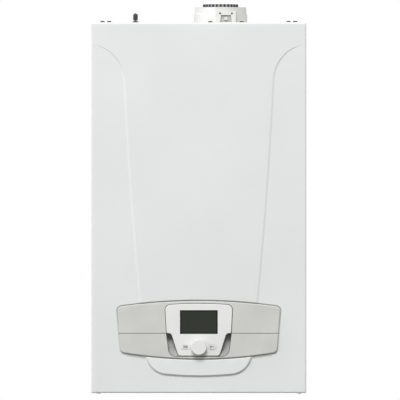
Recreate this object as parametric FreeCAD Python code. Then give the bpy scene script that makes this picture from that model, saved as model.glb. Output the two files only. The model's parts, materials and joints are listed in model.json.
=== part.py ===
import FreeCAD, Part
import math
import os

# A wall-hung condensing gas boiler, in millimetres.
# X runs to the right as a person faces it, Y runs from the front to the wall, and Z runs up.
# The origin lies on the wall, midway between the two screws of the wall bracket.

Vector = FreeCAD.Vector

# Case
CASE_WIDTH = 450.0
CASE_HEIGHT = 776.0
CASE_DEPTH = 345.0
SHEET = 1.2
SCREW_LINE_DROP = 48.0
COVER_SEAM = 1.5
FIT_GAP = 0.3
RUNNING_GAP = 0.05
CUT_OVERRUN = 5.0

# Wall bracket and rear frame
BRACKET_WIDTH = 300.0
BRACKET_HEIGHT = 36.0
BRACKET_SHEET = 2.5
WALL_SCREW_SPACING = 240.0
WALL_SCREW_HOLE_RADIUS = 4.25
HOOK_SPACING = 184.0
HOOK_WIDTH = 40.0
HOOK_LIP = 10.0
HOOK_PLAY = 1.0
WALL_POCKET = 14.0
REAR_FLANGE = 20.0

# Side, top and bottom sheets
SIDE_RETURN = 16.0
SIDE_FOOT = 26.0
SIDE_FOOT_DEPTH = 60.0
RETURN_LIFT = 14.0
TOP_FLANGE = 16.0
FLOOR_RECESS = 58.0

# Screws
SCREW_RADIUS = 2.0
SCREW_HEAD_RADIUS = 4.2
SCREW_HEAD = 2.4
SCREW_REACH = 6.0
DOOR_SCREW_REACH = 14.0

# Front cover: a pan with a raised middle field and two side facets
COVER_DEPTH = 30.0
COVER_CORNER_RADIUS = 3.6
COVER_EDGE_RADIUS = 3.0
FACET_DEPTH = 2.6
FACET_RUN = 70.0
CREASE_EDGE_DROP = 45.0
CREASE_BEND_DROP = 71.0
CREASE_BEND_WIDTH = 352.0
CREASE_KNEE_DROP = 121.0
CREASE_KNEE_WIDTH = 312.6
CREASE_SHIN_HEIGHT = 427.0
CREASE_SHIN_WIDTH = 285.2
CREASE_ANKLE_HEIGHT = 80.0
CREASE_ANKLE_WIDTH = 222.0
CREASE_ARCH_HEIGHT = 52.0
CREASE_ARCH_WIDTH = 196.0
CREASE_HEEL_HEIGHT = 39.5
CREASE_HEEL_WIDTH = 152.0
CREASE_FOOT_HEIGHT = 35.3
COVER_TAB_LENGTH = 18.0
COVER_TAB_WIDTH = 20.0
COVER_SCREW_INSET = 13.0
COVER_SLOT_GAP = 0.6

# Fascia, heights above the bottom of the case
FASCIA_TOP_HEIGHT = 192.8
FASCIA_BOTTOM_HEIGHT = 71.6
FASCIA_TOP_WIDTH = 341.6
FASCIA_BOTTOM_WIDTH = 327.0
FASCIA_TOP_RISE = 12.8
FASCIA_BOTTOM_SAG = 14.0
FASCIA_CORNER_RADIUS = 9.0
FASCIA_PROUD = 1.2
FASCIA_SKIN = 3.0
FASCIA_WALL = 2.4
FASCIA_FLANGE = 6.0
FASCIA_GAP = 2.0
FASCIA_EDGE_RADIUS = 2.0
SPLIT_DROP = 67.6
SPLIT_GAP = 1.0

# Opening in the fascia, and the cradle behind it
OPENING_TOP_RIM = 4.8
OPENING_BOTTOM_RIM = 5.1
OPENING_TOP_WIDTH = 143.0
OPENING_TOP_RISE = 3.2
OPENING_WAIST_WIDTH = 136.6
OPENING_FOOT_WIDTH = 124.0
OPENING_TOP_RADIUS = 12.0
OPENING_FOOT_RADIUS = 16.0
CRADLE_WALL = 1.2
SCOOP_LIP = 1.0
SCOOP_DEPTH = 21.0
SCOOP_WAIST_DEPTH = 16.0
SCOOP_WAIST_LIFT = 18.0

# Control unit
UNIT_GAP = 0.8
UNIT_FOOT_GAP = 1.2
UNIT_PROUD = 2.0
UNIT_DEPTH = 24.0
UNIT_WALL = 2.0
UNIT_SHOULDER_WIDTH = 116.0
UNIT_FOOT_WIDTH = 86.0
UNIT_SHOULDER_RADIUS = 7.0
UNIT_TIP_RADIUS = 2.2
UNIT_FOOT_RADIUS = 7.0
UNIT_EDGE_RADIUS = 1.4
WINDOW_WIDTH = 79.0
WINDOW_HEIGHT = 49.8
WINDOW_LIFT = -1.4
DISPLAY_BORDER = 2.0
BOARD_DEPTH = 11.0
BOARD_SHEET = 1.6
BOARD_MARGIN = 0.8
POST_RADIUS = 3.0
POST_SPACING = 100.0
POST_LIFT = 44.0
POST_DROP = 36.0
POST_FOOT_SPACING = 56.0
KNOB_DROP = 29.0
KNOB_RADIUS = 16.2
KNOB_LENGTH = 11.5
KNOB_PLAY = 1.6
KNOB_EDGE_RADIUS = 1.6
KNOB_SHAFT_RADIUS = 3.0
PLUNGER_RADIUS = 6.5
PLUNGER_LENGTH = 6.0
BUTTON_DROP = 28.4
BUTTON_SPACING = 55.8
BUTTON_WIDTH = 16.4
BUTTON_HEIGHT = 9.6
BUTTON_CORNER_RADIUS = 3.4
BUTTON_PROUD = 1.2
BUTTON_FLANGE = 1.5
BUTTON_FLANGE_SHEET = 1.2

# Control box behind the front cover
BOX_SIDE_ROOM = 35.8
BOX_DEPTH = 76.0
BOX_HEIGHT = 150.0
BOX_LIFT = 8.0
BOX_SETBACK = 1.5
BOX_WALL = 2.5
BOX_HINGE_INSET = 12.0
BOX_PIN_RADIUS = 4.0
BOX_PIN_LENGTH = 9.0
EAR_GAP = 2.0
EAR_SHEET = 4.0
EAR_RADIUS = 9.0
MAIN_BOARD_SIDE_ROOM = 38.0
MAIN_BOARD_HEIGHT = 110.0
MAIN_BOARD_STANDOFF = 10.0
STANDOFF_RADIUS = 4.0
STANDOFF_INSET = 8.0
TRANSFORMER_WIDTH = 58.0
TRANSFORMER_HEIGHT = 48.0
TRANSFORMER_DEPTH = 38.0
RELAY_SIZE = 18.0
RELAY_PITCH = 26.0
RELAY_COUNT = 6
PLUG_COUNT = 11
PLUG_WIDTH = 18.0
PLUG_HEIGHT = 10.0
PLUG_DEPTH = 13.0
PART_INSET = 10.0

# Flue adaptor on the top plate
FLUE_X = 46.0
FLUE_WALL_DISTANCE = 165.0
FLUE_PIPE_RADIUS = 30.3
FLUE_DUCT_WALL = 2.2
FLUE_FLANGE_WIDTH = 126.0
FLUE_FLANGE_CORNER = 12.0
FLUE_FLANGE_SHEET = 3.0
FLUE_SCREW_SPACING = 66.6
FLUE_SCREW_REACH = 57.0
COLLAR_RADIUS = 54.5
COLLAR_WALL = 4.0
COLLAR_HEIGHT = 35.5
COLLAR_BASE_RADIUS = 56.5
COLLAR_BASE_HEIGHT = 20.7
COLLAR_RIB_SHEET = 3.0
COLLAR_RIB_HEIGHT = 12.0
COLLAR_RIB_COUNT = 3
DUCT_TOP_HEIGHT = 33.0
SEAL_HEIGHT = 9.0
SEAL_BORE_GAP = 0.6
SEAL_RADIUS = 35.6
SEAL_RIB = 1.8
SEAL_RIB_WIDTH = 3.4
SEAL_RIB_COUNT = 28
SAMPLE_BOSS_SHIFT = 11.2
SAMPLE_BOSS_REACH = 60.0
SAMPLE_BOSS_WIDTH = 41.7
SAMPLE_BOSS_HEIGHT = 27.7
SAMPLE_POCKET_TOP_WIDTH = 21.0
SAMPLE_POCKET_FOOT_WIDTH = 25.0
SAMPLE_POCKET_HEIGHT = 18.5
SAMPLE_POCKET_DEPTH = 4.5
SAMPLE_PLUG_SPACING = 25.0
SAMPLE_PLUG_HEIGHT = 22.0
SAMPLE_PLUG_RADIUS = 1.2
SAMPLE_PLUG_HEAD_RADIUS = 1.8
SAMPLE_PLUG_HEAD = 1.2
SAMPLE_PLUG_DEPTH = 4.0
SAMPLE_STUD_WIDTH = 6.6
SAMPLE_STUD_REACH = 3.5
SAMPLE_STUD_HEIGHT = 11.4

# Lugs at the top corners
LUG_EDGE_INSET = 17.0
LUG_SHEET = 1.6
LUG_HEIGHT = 6.6
LUG_DEPTH = 12.0
LUG_LENGTH = 26.0
LUG_SETBACK = 2.0
LUG_SCREW_INSET = 6.0

# Expansion vessel and its charging valve
VESSEL_SIDE_ROOM = 38.8
VESSEL_HEIGHT = 320.0
VESSEL_DEPTH = 50.0
VESSEL_WALL = 1.5
VESSEL_LIFT = 36.0
VESSEL_CORNER_RADIUS = 30.0
VALVE_SIDE_ROOM = 89.8
VALVE_WALL_DISTANCE = 190.0
VALVE_TUBE_RADIUS = 4.0
VALVE_TUBE_BORE = 2.4
VALVE_BEND = 20.0
VALVE_RUN_DROP = 46.0
VALVE_NUT_ACROSS = 13.0
VALVE_NUT_HEIGHT = 5.0
VALVE_COLLAR_RADIUS = 4.8
VALVE_COLLAR_LIFT = 6.4
VALVE_COLLAR_HEIGHT = 1.0
VALVE_STEM_RADIUS = 2.2
VALVE_STEM_LIFT = 18.0
CAP_RADIUS = 5.0
CAP_LIFT = 8.6
CAP_HEIGHT = 12.8
CAP_EDGE_RADIUS = 2.2
CAP_GROOVE_COUNT = 12
CAP_GROOVE_RADIUS = 0.6

# Heat exchanger, burner and fan
HX_DROP = 223.0
HX_RADIUS = 112.0
HX_DEPTH = 200.0
HX_WALL = 3.0
HX_STANDOFF = 20.0
HX_FOOT_RADIUS = 8.0
HX_FOOT_SPACING = 136.0
HX_MOUTH_RADIUS = 88.0
HX_SPIGOT_HEIGHT = 14.0
HX_FLUE_BORE = 28.0
HX_PORT_RADIUS = 12.0
HX_PORT_BORE = 8.0
HX_PORT_SPACING = 140.0
HX_PORT_DROP = 14.0
HX_PORT_WALL_DISTANCE = 92.0
COIL_TUBE_RADIUS = 8.4
COIL_TUBE_BORE = 7.2
COIL_GAP = 0.5
COIL_PITCH = 21.0
COIL_TURN_COUNT = 8
COIL_START = 14.0
DOOR_LAP = 12.0
DOOR_SHEET = 12.0
DOOR_SCREW_COUNT = 6
HORN_DEPTH = 36.0
HORN_HEIGHT = 40.0
HORN_WALL = 2.5
HORN_END = 30.0
HORN_HOLE_RADIUS = 16.0
BURNER_RADIUS = 34.0
BURNER_WALL = 1.6
BURNER_LENGTH = 140.0
ELECTRODE_CIRCLE = 62.0
ELECTRODE_ANGLE = 35.0
ELECTRODE_RADIUS = 1.5
ELECTRODE_LENGTH = 62.0
CERAMIC_RADIUS = 5.0
CERAMIC_LENGTH = 22.0
FAN_SIDE_ROOM = 23.8
FAN_RADIUS = 62.0
FAN_WALL = 3.0
FAN_CHEEK = 6.0
FAN_BACK_GAP = 1.0
FAN_OUTLET = 10.0
FAN_INLET_RADIUS = 22.0
FAN_MOTOR_RADIUS = 36.0
FAN_MOTOR_LENGTH = 44.0
FAN_SHAFT_RADIUS = 4.0
FAN_SHAFT_REACH = 24.0
FAN_SHAFT_HOLE_GAP = 0.6
IMPELLER_GAP = 9.0
IMPELLER_DISC = 2.4
IMPELLER_HUB_RADIUS = 10.0
IMPELLER_BLADE = 2.0
IMPELLER_BLADE_ROOT = 26.0
IMPELLER_BLADE_COUNT = 16
IMPELLER_SIDE_GAP = 4.0
MIXER_RADIUS = 34.0
MIXER_LENGTH = 28.0
MIXER_SPIGOT_RADIUS = 10.0
MIXER_SPIGOT_DROP = 6.0
MIXER_COVER = 3.0
SILENCER_WIDTH = 60.0
SILENCER_RISE = 130.0
SILENCER_GAP = 2.0
SILENCER_WALL = 2.0

# Gas valve and gas pipes
GAS_PIPE_RISE = 200.0
GAS_VALVE_WIDTH = 64.0
GAS_VALVE_DEPTH = 60.0
GAS_VALVE_HEIGHT = 88.0
GAS_VALVE_SHIFT = 4.0
GAS_VALVE_EDGE = 4.0
GAS_COIL_RADIUS = 17.0
GAS_COIL_LENGTH = 26.0
GAS_PORT_SHIFT = 14.0
GAS_RUN_DROP = 18.0

# Pipes under and behind the floor plate
UNION_SIDE_ROOM = 79.8
UNION_WALL_DISTANCE = 140.0
LARGE_UNION_RADIUS = 13.2
SMALL_UNION_RADIUS = 10.5
UNION_WALL = 3.0
UNION_END_LIFT = 8.0
UNION_NUT_HEIGHT = 14.0
UNION_NUT_MARGIN = 5.0
UNION_HOLE_GAP = 0.6
PIPE_RADIUS = 9.0
PIPE_BORE = 7.6
TAP_PIPE_RADIUS = 7.5
TAP_PIPE_BORE = 6.3
PIPE_BEND = 18.0
TAP_PIPE_BEND = 14.0
PIPE_CROSS_DROP = 44.0

# Pump, diverter, plate exchanger and small fittings
PUMP_RISE = 56.0
PUMP_RADIUS = 44.0
PUMP_FRONT_DEPTH = 24.0
PUMP_BACK_DEPTH = 26.0
PUMP_WALL = 6.0
PUMP_BASE_WIDTH = 40.0
PUMP_SPIGOT_RADIUS = 12.0
PUMP_SPIGOT_RISE = 10.0
PUMP_BOSS_RADIUS = 11.0
PUMP_BOSS_REACH = 6.0
PUMP_VENT_RADIUS = 9.0
PUMP_VENT_RISE = 26.0
PUMP_VENT_SHIFT = 26.0
PUMP_MOTOR_RADIUS = 41.0
PUMP_MOTOR_LENGTH = 60.0
PUMP_MOTOR_EDGE = 5.0
PUMP_SHAFT_RADIUS = 3.0
PUMP_SHAFT_REACH = 20.0
PUMP_IMPELLER_RADIUS = 32.0
PUMP_VANE_COUNT = 6
PUMP_VANE_SHEET = 3.0
PUMP_VANE_HEIGHT = 9.0
PUMP_TERMINAL_WIDTH = 46.0
PUMP_TERMINAL_HEIGHT = 12.0
DIVERTER_WIDTH = 60.0
DIVERTER_DEPTH = 70.0
DIVERTER_HEIGHT = 76.0
DIVERTER_EDGE = 4.0
DIVERTER_MOTOR_WIDTH = 48.0
DIVERTER_MOTOR_HEIGHT = 50.0
DIVERTER_MOTOR_LENGTH = 54.0
DIVERTER_MOTOR_LIFT = 18.0
PLATE_FRONT_SHIFT = 25.0
PLATE_DEPTH = 42.0
PLATE_HEIGHT = 72.0
PLATE_END_GAP = 6.0
PLATE_GROOVE = 1.0
PLATE_GROOVE_COUNT = 6
PLATE_LEG_WIDTH = 20.0
TAP_PORT_LIFT = 54.0
RELIEF_WIDTH = 26.0
RELIEF_HEIGHT = 34.0
RELIEF_DROP = 20.0
RELIEF_OUTLET_RADIUS = 8.0
RELIEF_OUTLET_END_LIFT = 14.0
RELIEF_NECK_RADIUS = 7.0
RELIEF_NECK = 5.0
SPINDLE_RADIUS = 3.0
SPINDLE_REACH = 9.0
RELIEF_KNOB_RADIUS = 14.0
RELIEF_KNOB_HEIGHT = 15.0
FILL_X = 32.0
FITTING_WALL_DISTANCE = 190.0
FILL_BODY_RADIUS = 11.0
FILL_BODY_HEIGHT = 30.0
FILL_NUT_ACROSS = 27.0
FILL_NUT_HEIGHT = 6.0
FILL_STEM_RADIUS = 7.0
FILL_STEM_DROP = 16.0
FILL_KNOB_RADIUS = 13.0
FILL_KNOB_HEIGHT = 17.0
KNOB_LOBE_COUNT = 8
KNOB_LOBE_RADIUS = 2.4
GAUGE_X = -95.0
GAUGE_WALL_DISTANCE = 212.0
GAUGE_RADIUS = 21.0
GAUGE_RIM = 2.4
GAUGE_FLANGE = 3.0
GAUGE_FLANGE_SHEET = 2.6
GAUGE_TOP_LIFT = 8.0
GAUGE_DROP = 32.0
GAUGE_RECESS = 5.0
NEEDLE_PIN_RADIUS = 1.5
NEEDLE_PIN_REACH = 3.4
NEEDLE_SHEET = 1.0
NEEDLE_HUB_RADIUS = 3.2
NEEDLE_LENGTH = 14.0
NEEDLE_TAIL = 5.0
NEEDLE_WIDTH = 1.6
NEEDLE_GAP = 0.8
TRAP_SHIFT = 24.0
TRAP_RADIUS = 32.0
TRAP_HEIGHT = 132.0
TRAP_WALL = 2.4
TRAP_DRAIN = 43.0
TRAP_NECK_RADIUS = 28.0
TRAP_NECK = 22.0
TRAP_CUP_HEIGHT = 78.0
TRAP_CUP_WALL = 5.0
TRAP_CUP_RIB_COUNT = 12
TRAP_OUTLET_X = -32.0
TRAP_OUTLET_RADIUS = 10.5
TRAP_OUTLET_BORE = 8.0
TRAP_OUTLET_LIFT = 14.0
TRAP_OUTLET_BEND = 22.0
TRAP_SPIGOT_RADIUS = 9.5
TRAP_SPIGOT_BORE = 7.5
TRAP_OUTLET_END_LIFT = 15.0
GLAND_SIDE_ROOM = 43.8
GLAND_PITCH = 30.0
GLAND_WALL_DISTANCE = 262.0
GLAND_BORE_RADIUS = 5.0
GLAND_WALL = 5.0
GLAND_FLANGE = 3.0
GLAND_FLANGE_SHEET = 3.0
GLAND_TOP_LIFT = 5.0
GLAND_DROP = 9.0

# Main planes
HALF_WIDTH = CASE_WIDTH / 2
INNER_HALF = HALF_WIDTH - SHEET
UNION_PITCH = (INNER_HALF - UNION_SIDE_ROOM) / 2
TOP = SCREW_LINE_DROP
BOTTOM = TOP - CASE_HEIGHT
FRONT = -CASE_DEPTH
CHASSIS_FRONT = FRONT + COVER_DEPTH + COVER_SEAM
BACK_PLATE_FRONT = -WALL_POCKET - SHEET
FLOOR_TOP = BOTTOM + FLOOR_RECESS
FLOOR_UNDER = FLOOR_TOP - SHEET
UNION_TOP = FLOOR_TOP + UNION_NUT_HEIGHT
UNION_Y = -UNION_WALL_DISTANCE
FITTING_Y = -FITTING_WALL_DISTANCE
COVER_SCREW_X = INNER_HALF - COVER_SCREW_INSET
COVER_SCREW_Y = FRONT + COVER_DEPTH + COVER_TAB_LENGTH / 2

# Planes of the fascia and the control unit
FASCIA_FACE = FRONT - FASCIA_PROUD
FLANGE_FRONT = FRONT + SHEET + FACET_DEPTH + FIT_GAP
FLANGE_BACK = FLANGE_FRONT + FASCIA_WALL
FASCIA_TOP = BOTTOM + FASCIA_TOP_HEIGHT
FASCIA_FOOT = BOTTOM + FASCIA_BOTTOM_HEIGHT
SPLIT_Z = FASCIA_TOP - SPLIT_DROP
OPENING_TOP = FASCIA_TOP - OPENING_TOP_RIM
OPENING_FOOT = FASCIA_FOOT + OPENING_BOTTOM_RIM
UNIT_FACE = FASCIA_FACE - UNIT_PROUD
UNIT_INSIDE = UNIT_FACE + UNIT_WALL
UNIT_BACK = UNIT_FACE + UNIT_DEPTH
BOARD_FRONT = UNIT_FACE + BOARD_DEPTH
BOARD_BACK = BOARD_FRONT + BOARD_SHEET
CRADLE_FLOOR = UNIT_BACK + FIT_GAP
KNOB_Z = SPLIT_Z - KNOB_DROP
BUTTON_Z = SPLIT_Z - BUTTON_DROP
WINDOW_FOOT = SPLIT_Z + WINDOW_LIFT

# Planes of the control box
BOX_WIDTH = 2 * (INNER_HALF - BOX_SIDE_ROOM)
BOX_FRONT = CHASSIS_FRONT + BOX_SETBACK
BOX_BACK = BOX_FRONT + BOX_DEPTH
BOX_BOTTOM = FLOOR_TOP + BOX_LIFT
BOX_TOP = BOX_BOTTOM + BOX_HEIGHT
BOX_HINGE_Y = BOX_FRONT + BOX_HINGE_INSET
BOX_HINGE_Z = BOX_BOTTOM + BOX_HINGE_INSET
MAIN_BOARD_WIDTH = BOX_WIDTH - 2 * MAIN_BOARD_SIDE_ROOM
MAIN_BOARD_FRONT = BOX_FRONT + BOX_WALL + MAIN_BOARD_STANDOFF
MAIN_BOARD_BACK = MAIN_BOARD_FRONT + BOARD_SHEET
MAIN_BOARD_FOOT = BOX_BOTTOM + (BOX_HEIGHT - MAIN_BOARD_HEIGHT) / 2

# Planes and axes of the heat exchanger, the burner and the fan
FLUE_Y = -FLUE_WALL_DISTANCE
HX_X = FLUE_X
HX_Z = TOP - HX_DROP
HX_BACK = BACK_PLATE_FRONT - HX_STANDOFF
HX_FRONT = HX_BACK - HX_DEPTH
HX_PORT_Y = -HX_PORT_WALL_DISTANCE
HX_PORT_END = HX_Z - HX_RADIUS - HX_PORT_DROP
HX_SPIGOT_TOP = HX_Z + HX_RADIUS + HX_SPIGOT_HEIGHT
DUCT_RADIUS = FLUE_PIPE_RADIUS + FLUE_DUCT_WALL
DUCT_TOP = TOP + DUCT_TOP_HEIGHT
DOOR_FRONT = HX_FRONT - DOOR_SHEET
DOOR_RADIUS = HX_MOUTH_RADIUS + DOOR_LAP
HORN_FRONT = DOOR_FRONT - HORN_DEPTH
FAN_X = -INNER_HALF + FAN_SIDE_ROOM + FAN_RADIUS
FAN_Z = HX_Z - FAN_RADIUS + HORN_HEIGHT / 2
HORN_LEFT = FAN_X + FAN_RADIUS + FAN_OUTLET
FAN_FRONT = HORN_FRONT - FAN_CHEEK
FAN_BACK = DOOR_FRONT - FAN_BACK_GAP
MIXER_FRONT = FAN_FRONT - MIXER_LENGTH
MIXER_Y = FAN_FRONT - MIXER_LENGTH / 2
MIXER_FOOT = FAN_Z - MIXER_RADIUS - MIXER_SPIGOT_DROP
GAS_VALVE_FOOT = UNION_TOP + GAS_PIPE_RISE
GAS_VALVE_TOP = GAS_VALVE_FOOT + GAS_VALVE_HEIGHT
GAS_RUN_Z = HX_Z - HX_RADIUS - GAS_RUN_DROP

# Places of the pump group, the trap and the vessel
DIVERTER_X = -2 * UNION_PITCH
DIVERTER_TOP = UNION_TOP + DIVERTER_HEIGHT
PUMP_X = 2 * UNION_PITCH
PUMP_Z = UNION_TOP + PUMP_RISE
PUMP_FRONT = UNION_Y - PUMP_FRONT_DEPTH
PUMP_BACK = UNION_Y + PUMP_BACK_DEPTH
PUMP_SPIGOT_TOP = PUMP_Z + PUMP_RADIUS + PUMP_SPIGOT_RISE
PUMP_BOSS_END = PUMP_X + PUMP_RADIUS + PUMP_BOSS_REACH
PLATE_FRONT = UNION_Y + PLATE_FRONT_SHIFT
RELIEF_X = PUMP_BOSS_END + RELIEF_WIDTH / 2
RELIEF_FOOT = PUMP_Z - RELIEF_DROP
RELIEF_TOP = RELIEF_FOOT + RELIEF_HEIGHT
RELIEF_SEAT = RELIEF_TOP + RELIEF_NECK
FILL_END = FLOOR_UNDER - FILL_STEM_DROP
GAUGE_Y = -GAUGE_WALL_DISTANCE
GAUGE_FACE = FLOOR_UNDER - GAUGE_DROP
GAUGE_DIAL = GAUGE_FACE + GAUGE_RECESS
TRAP_X = HX_X + TRAP_SHIFT
TRAP_TOP = HX_Z - HX_RADIUS - TRAP_DRAIN
TRAP_SHOULDER = TRAP_TOP - TRAP_HEIGHT
TRAP_OUTLET_Z = TRAP_SHOULDER + TRAP_OUTLET_LIFT
VESSEL_WIDTH = 2 * (INNER_HALF - VESSEL_SIDE_ROOM)
VESSEL_BOTTOM = FLOOR_TOP + VESSEL_LIFT
VESSEL_TOP = VESSEL_BOTTOM + VESSEL_HEIGHT
VESSEL_MIDDLE = BACK_PLATE_FRONT - VESSEL_DEPTH / 2
VALVE_X = -INNER_HALF + VALVE_SIDE_ROOM
VALVE_Y = -VALVE_WALL_DISTANCE
GLAND_X = INNER_HALF - GLAND_SIDE_ROOM - GLAND_PITCH
GLAND_Y = -GLAND_WALL_DISTANCE

LUG_X = HALF_WIDTH - LUG_EDGE_INSET

# Unions from left to right: heating flow, hot water, gas, cold water, heating return
UNIONS = (
    (-2 * UNION_PITCH, LARGE_UNION_RADIUS),
    (-UNION_PITCH, SMALL_UNION_RADIUS),
    (0.0, LARGE_UNION_RADIUS),
    (UNION_PITCH, SMALL_UNION_RADIUS),
    (2 * UNION_PITCH, LARGE_UNION_RADIUS),
)
SIDES = (-1, 1)


# Shapes that every piece is made from

def box(x, y, z):
    """Box between two X, two Y and two Z values, in either order."""
    low = Vector(min(x), min(y), min(z))
    return Part.makeBox(max(x) - low.x, max(y) - low.y, max(z) - low.z, low)


def centred_box(middle, size):
    """Box of a given size about a middle point."""
    spans = [(m - s / 2, m + s / 2) for m, s in zip(middle, size)]
    return box(*spans)


def rod(radius, start, end):
    """Round bar between two points."""
    start = Vector(*start)
    run = Vector(*end) - start
    return Part.makeCylinder(radius, run.Length, start, run)


def tube(radius, bore, start, end):
    """Round tube between two points."""
    return rod(radius, start, end).cut(rod(bore, start, end))


def hex_bar(across, x, y, z):
    """Upright six-sided bar between two heights."""
    corners = around(6, across / math.sqrt(3), (x, y))
    points = [Vector(a, b, min(z)) for a, b, angle in corners + corners[:1]]
    return Part.Face(Part.makePolygon(points)).extrude(Vector(0, 0, max(z) - min(z)))


def around(count, radius, middle=(0.0, 0.0), start=0.0):
    """Evenly spaced places on a circle, as pairs of coordinates with their angle."""
    places = []
    for step in range(count):
        angle = start + 2 * math.pi * step / count
        places.append((middle[0] + radius * math.cos(angle), middle[1] + radius * math.sin(angle), angle))
    return places


def fuse(first, *others):
    """One solid from several that touch or overlap."""
    return first.multiFuse(list(others)).removeSplitter()


def cut_all(solid, cutters):
    """A solid with every cutter taken out of it."""
    return solid.cut(Part.makeCompound(list(cutters)))


def mirrored(shape):
    """The same shape on the other side of the middle plane."""
    return shape.mirror(Vector(0, 0, 0), Vector(1, 0, 0))


def runs_along(edge, axis):
    """True for a straight edge along an axis, where the axis is 0, 1 or 2."""
    start, end = edge.Vertexes[0].Point, edge.Vertexes[-1].Point
    others = [abs(start[i] - end[i]) for i in range(3) if i != axis]
    return max(others) < RUNNING_GAP and abs(start[axis] - end[axis]) > RUNNING_GAP


def lies_at(edge, axis, value):
    """True for an edge that lies wholly in a plane across an axis."""
    bounds = edge.BoundBox
    low, high = ((bounds.XMin, bounds.XMax), (bounds.YMin, bounds.YMax), (bounds.ZMin, bounds.ZMax))[axis]
    return abs(low - value) < RUNNING_GAP and abs(high - value) < RUNNING_GAP


def round_edges(solid, radius, axis, value):
    """A solid with all edges in one plane rounded."""
    return solid.makeFillet(radius, [edge for edge in solid.Edges if lies_at(edge, axis, value)])


def round_along(solid, radius, axis):
    """A solid with all straight edges along one axis rounded."""
    return solid.makeFillet(radius, [edge for edge in solid.Edges if runs_along(edge, axis)])


def outline(top, steps):
    """Closed line in the front plane, the same on both sides of X = 0.

    It starts at the top middle and goes down the right side. A step with one point is a straight edge,
    and a step with two points is an arc through the first to the second.
    """
    stretches = []
    start = top
    for *middle, end in steps:
        stretches.append((start, middle, end))
        start = end
    edges = []
    for start, middle, end in stretches:
        edges.append(line_or_arc(start, middle, end))
    for start, middle, end in reversed(stretches):
        edges.append(line_or_arc(flip(end), [flip(point) for point in middle], flip(start)))
    return Part.Wire(edges)


def flip(point):
    """A point of the front plane, on the other side."""
    return (-point[0], point[1])


def line_or_arc(start, middle, end):
    """One edge of an outline in the front plane."""
    points = [Vector(x, 0, z) for x, z in (start, *middle, end)]
    if middle:
        return Part.Arc(*points).toShape()
    return Part.LineSegment(*points).toShape()


def arc_drop(x, half, rise):
    """How far a shallow arc has dropped at a distance from its middle."""
    radius = (half * half + rise * rise) / (2 * rise)
    return radius - math.sqrt(radius * radius - x * x)


def prism(wire, y):
    """A solid between two Y values over an outline in the front plane."""
    face = Part.Face(wire)
    face.translate(Vector(0, min(y), 0))
    return face.extrude(Vector(0, max(y) - min(y), 0))


def grown(wire, distance):
    """An outline moved outwards, or inwards where the distance is negative."""
    return wire.makeOffset2D(distance)


def rounded(wire, corners):
    """An outline with its corners rounded, each given as a point on the right side and a radius."""
    block = prism(wire, (0, CUT_OVERRUN))
    for (x, z), radius in corners:
        edges = []
        for edge in block.Edges:
            place = edge.Vertexes[0].Point
            if runs_along(edge, 1) and abs(abs(place.x) - x) < FIT_GAP and abs(place.z - z) < FIT_GAP:
                edges.append(edge)
        block = block.makeFillet(radius, edges)
    return min(block.Faces, key=lambda face: face.CenterOfMass.y).OuterWire


def rounded_bar(width, height, radius, middle, y):
    """A bar along Y with a rounded rectangular section."""
    bar = box(
        (middle[0] - width / 2, middle[0] + width / 2),
        y,
        (middle[1] - height / 2, middle[1] + height / 2),
    )
    return round_along(bar, radius, 1)


def bent_line(points, bend):
    """Straight runs joined by tangent arcs of one radius."""
    points = [Vector(*point) for point in points]
    edges = []
    start = points[0]
    for before, corner, after in zip(points, points[1:], points[2:]):
        into = (corner - before).normalize()
        out = (after - corner).normalize()
        half_turn = into.getAngle(out) / 2
        trim = bend * math.tan(half_turn)
        first = corner - into * trim
        last = corner + out * trim
        middle = corner + (out - into).normalize() * (bend / math.cos(half_turn) - bend)
        edges.append(Part.LineSegment(start, first).toShape())
        edges.append(Part.Arc(first, middle, last).toShape())
        start = last
    edges.append(Part.LineSegment(start, points[-1]).toShape())
    return Part.Wire(edges)


def swept(path, radius):
    """A round bar along a line."""
    first = path.OrderedEdges[0]
    start = first.valueAt(first.FirstParameter)
    profile = Part.Wire([Part.makeCircle(radius, start, first.tangentAt(first.FirstParameter))])
    return path.makePipeShell([profile], True, False)


def bent_tube(points, radius, bore, bend):
    """A round tube with bends."""
    path = bent_line(points, bend)
    return swept(path, radius).cut(swept(path, bore))


def screw(seat, into, reach):
    """A pan-head screw with its head on a seat and its shank going into the work."""
    seat = Vector(*seat)
    into = Vector(*into)
    head = Part.makeCylinder(SCREW_HEAD_RADIUS, SCREW_HEAD, seat - into * SCREW_HEAD, into)
    return fuse(head, Part.makeCylinder(SCREW_RADIUS, reach, seat, into))


def screw_hole(seat, into, reach):
    """The clearance hole for a screw."""
    into = Vector(*into)
    start = Vector(*seat) - into * CUT_OVERRUN
    return Part.makeCylinder(SCREW_RADIUS + FIT_GAP, reach + 2 * CUT_OVERRUN, start, into)


# Wall bracket and case

def wall_bracket():
    """Strip on the wall with two screw holes and two upturned hooks."""
    top = BRACKET_HEIGHT / 2
    reach = -WALL_POCKET - SHEET - HOOK_PLAY - BRACKET_SHEET
    pieces = []
    for side in SIDES:
        x = (side * HOOK_SPACING / 2 - HOOK_WIDTH / 2, side * HOOK_SPACING / 2 + HOOK_WIDTH / 2)
        pieces.append(box(x, (reach, 0), (top - BRACKET_SHEET, top)))
        pieces.append(box(x, (reach, reach + BRACKET_SHEET), (top - BRACKET_SHEET, top + HOOK_LIP)))
    strip = box((-BRACKET_WIDTH / 2, BRACKET_WIDTH / 2), (-BRACKET_SHEET, 0), (-top, top))
    holes = []
    for side in SIDES:
        x = side * WALL_SCREW_SPACING / 2
        holes.append(rod(WALL_SCREW_HOLE_RADIUS, (x, -BRACKET_SHEET - CUT_OVERRUN, 0), (x, CUT_OVERRUN, 0)))
    return cut_all(fuse(strip, *pieces), holes)


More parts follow.
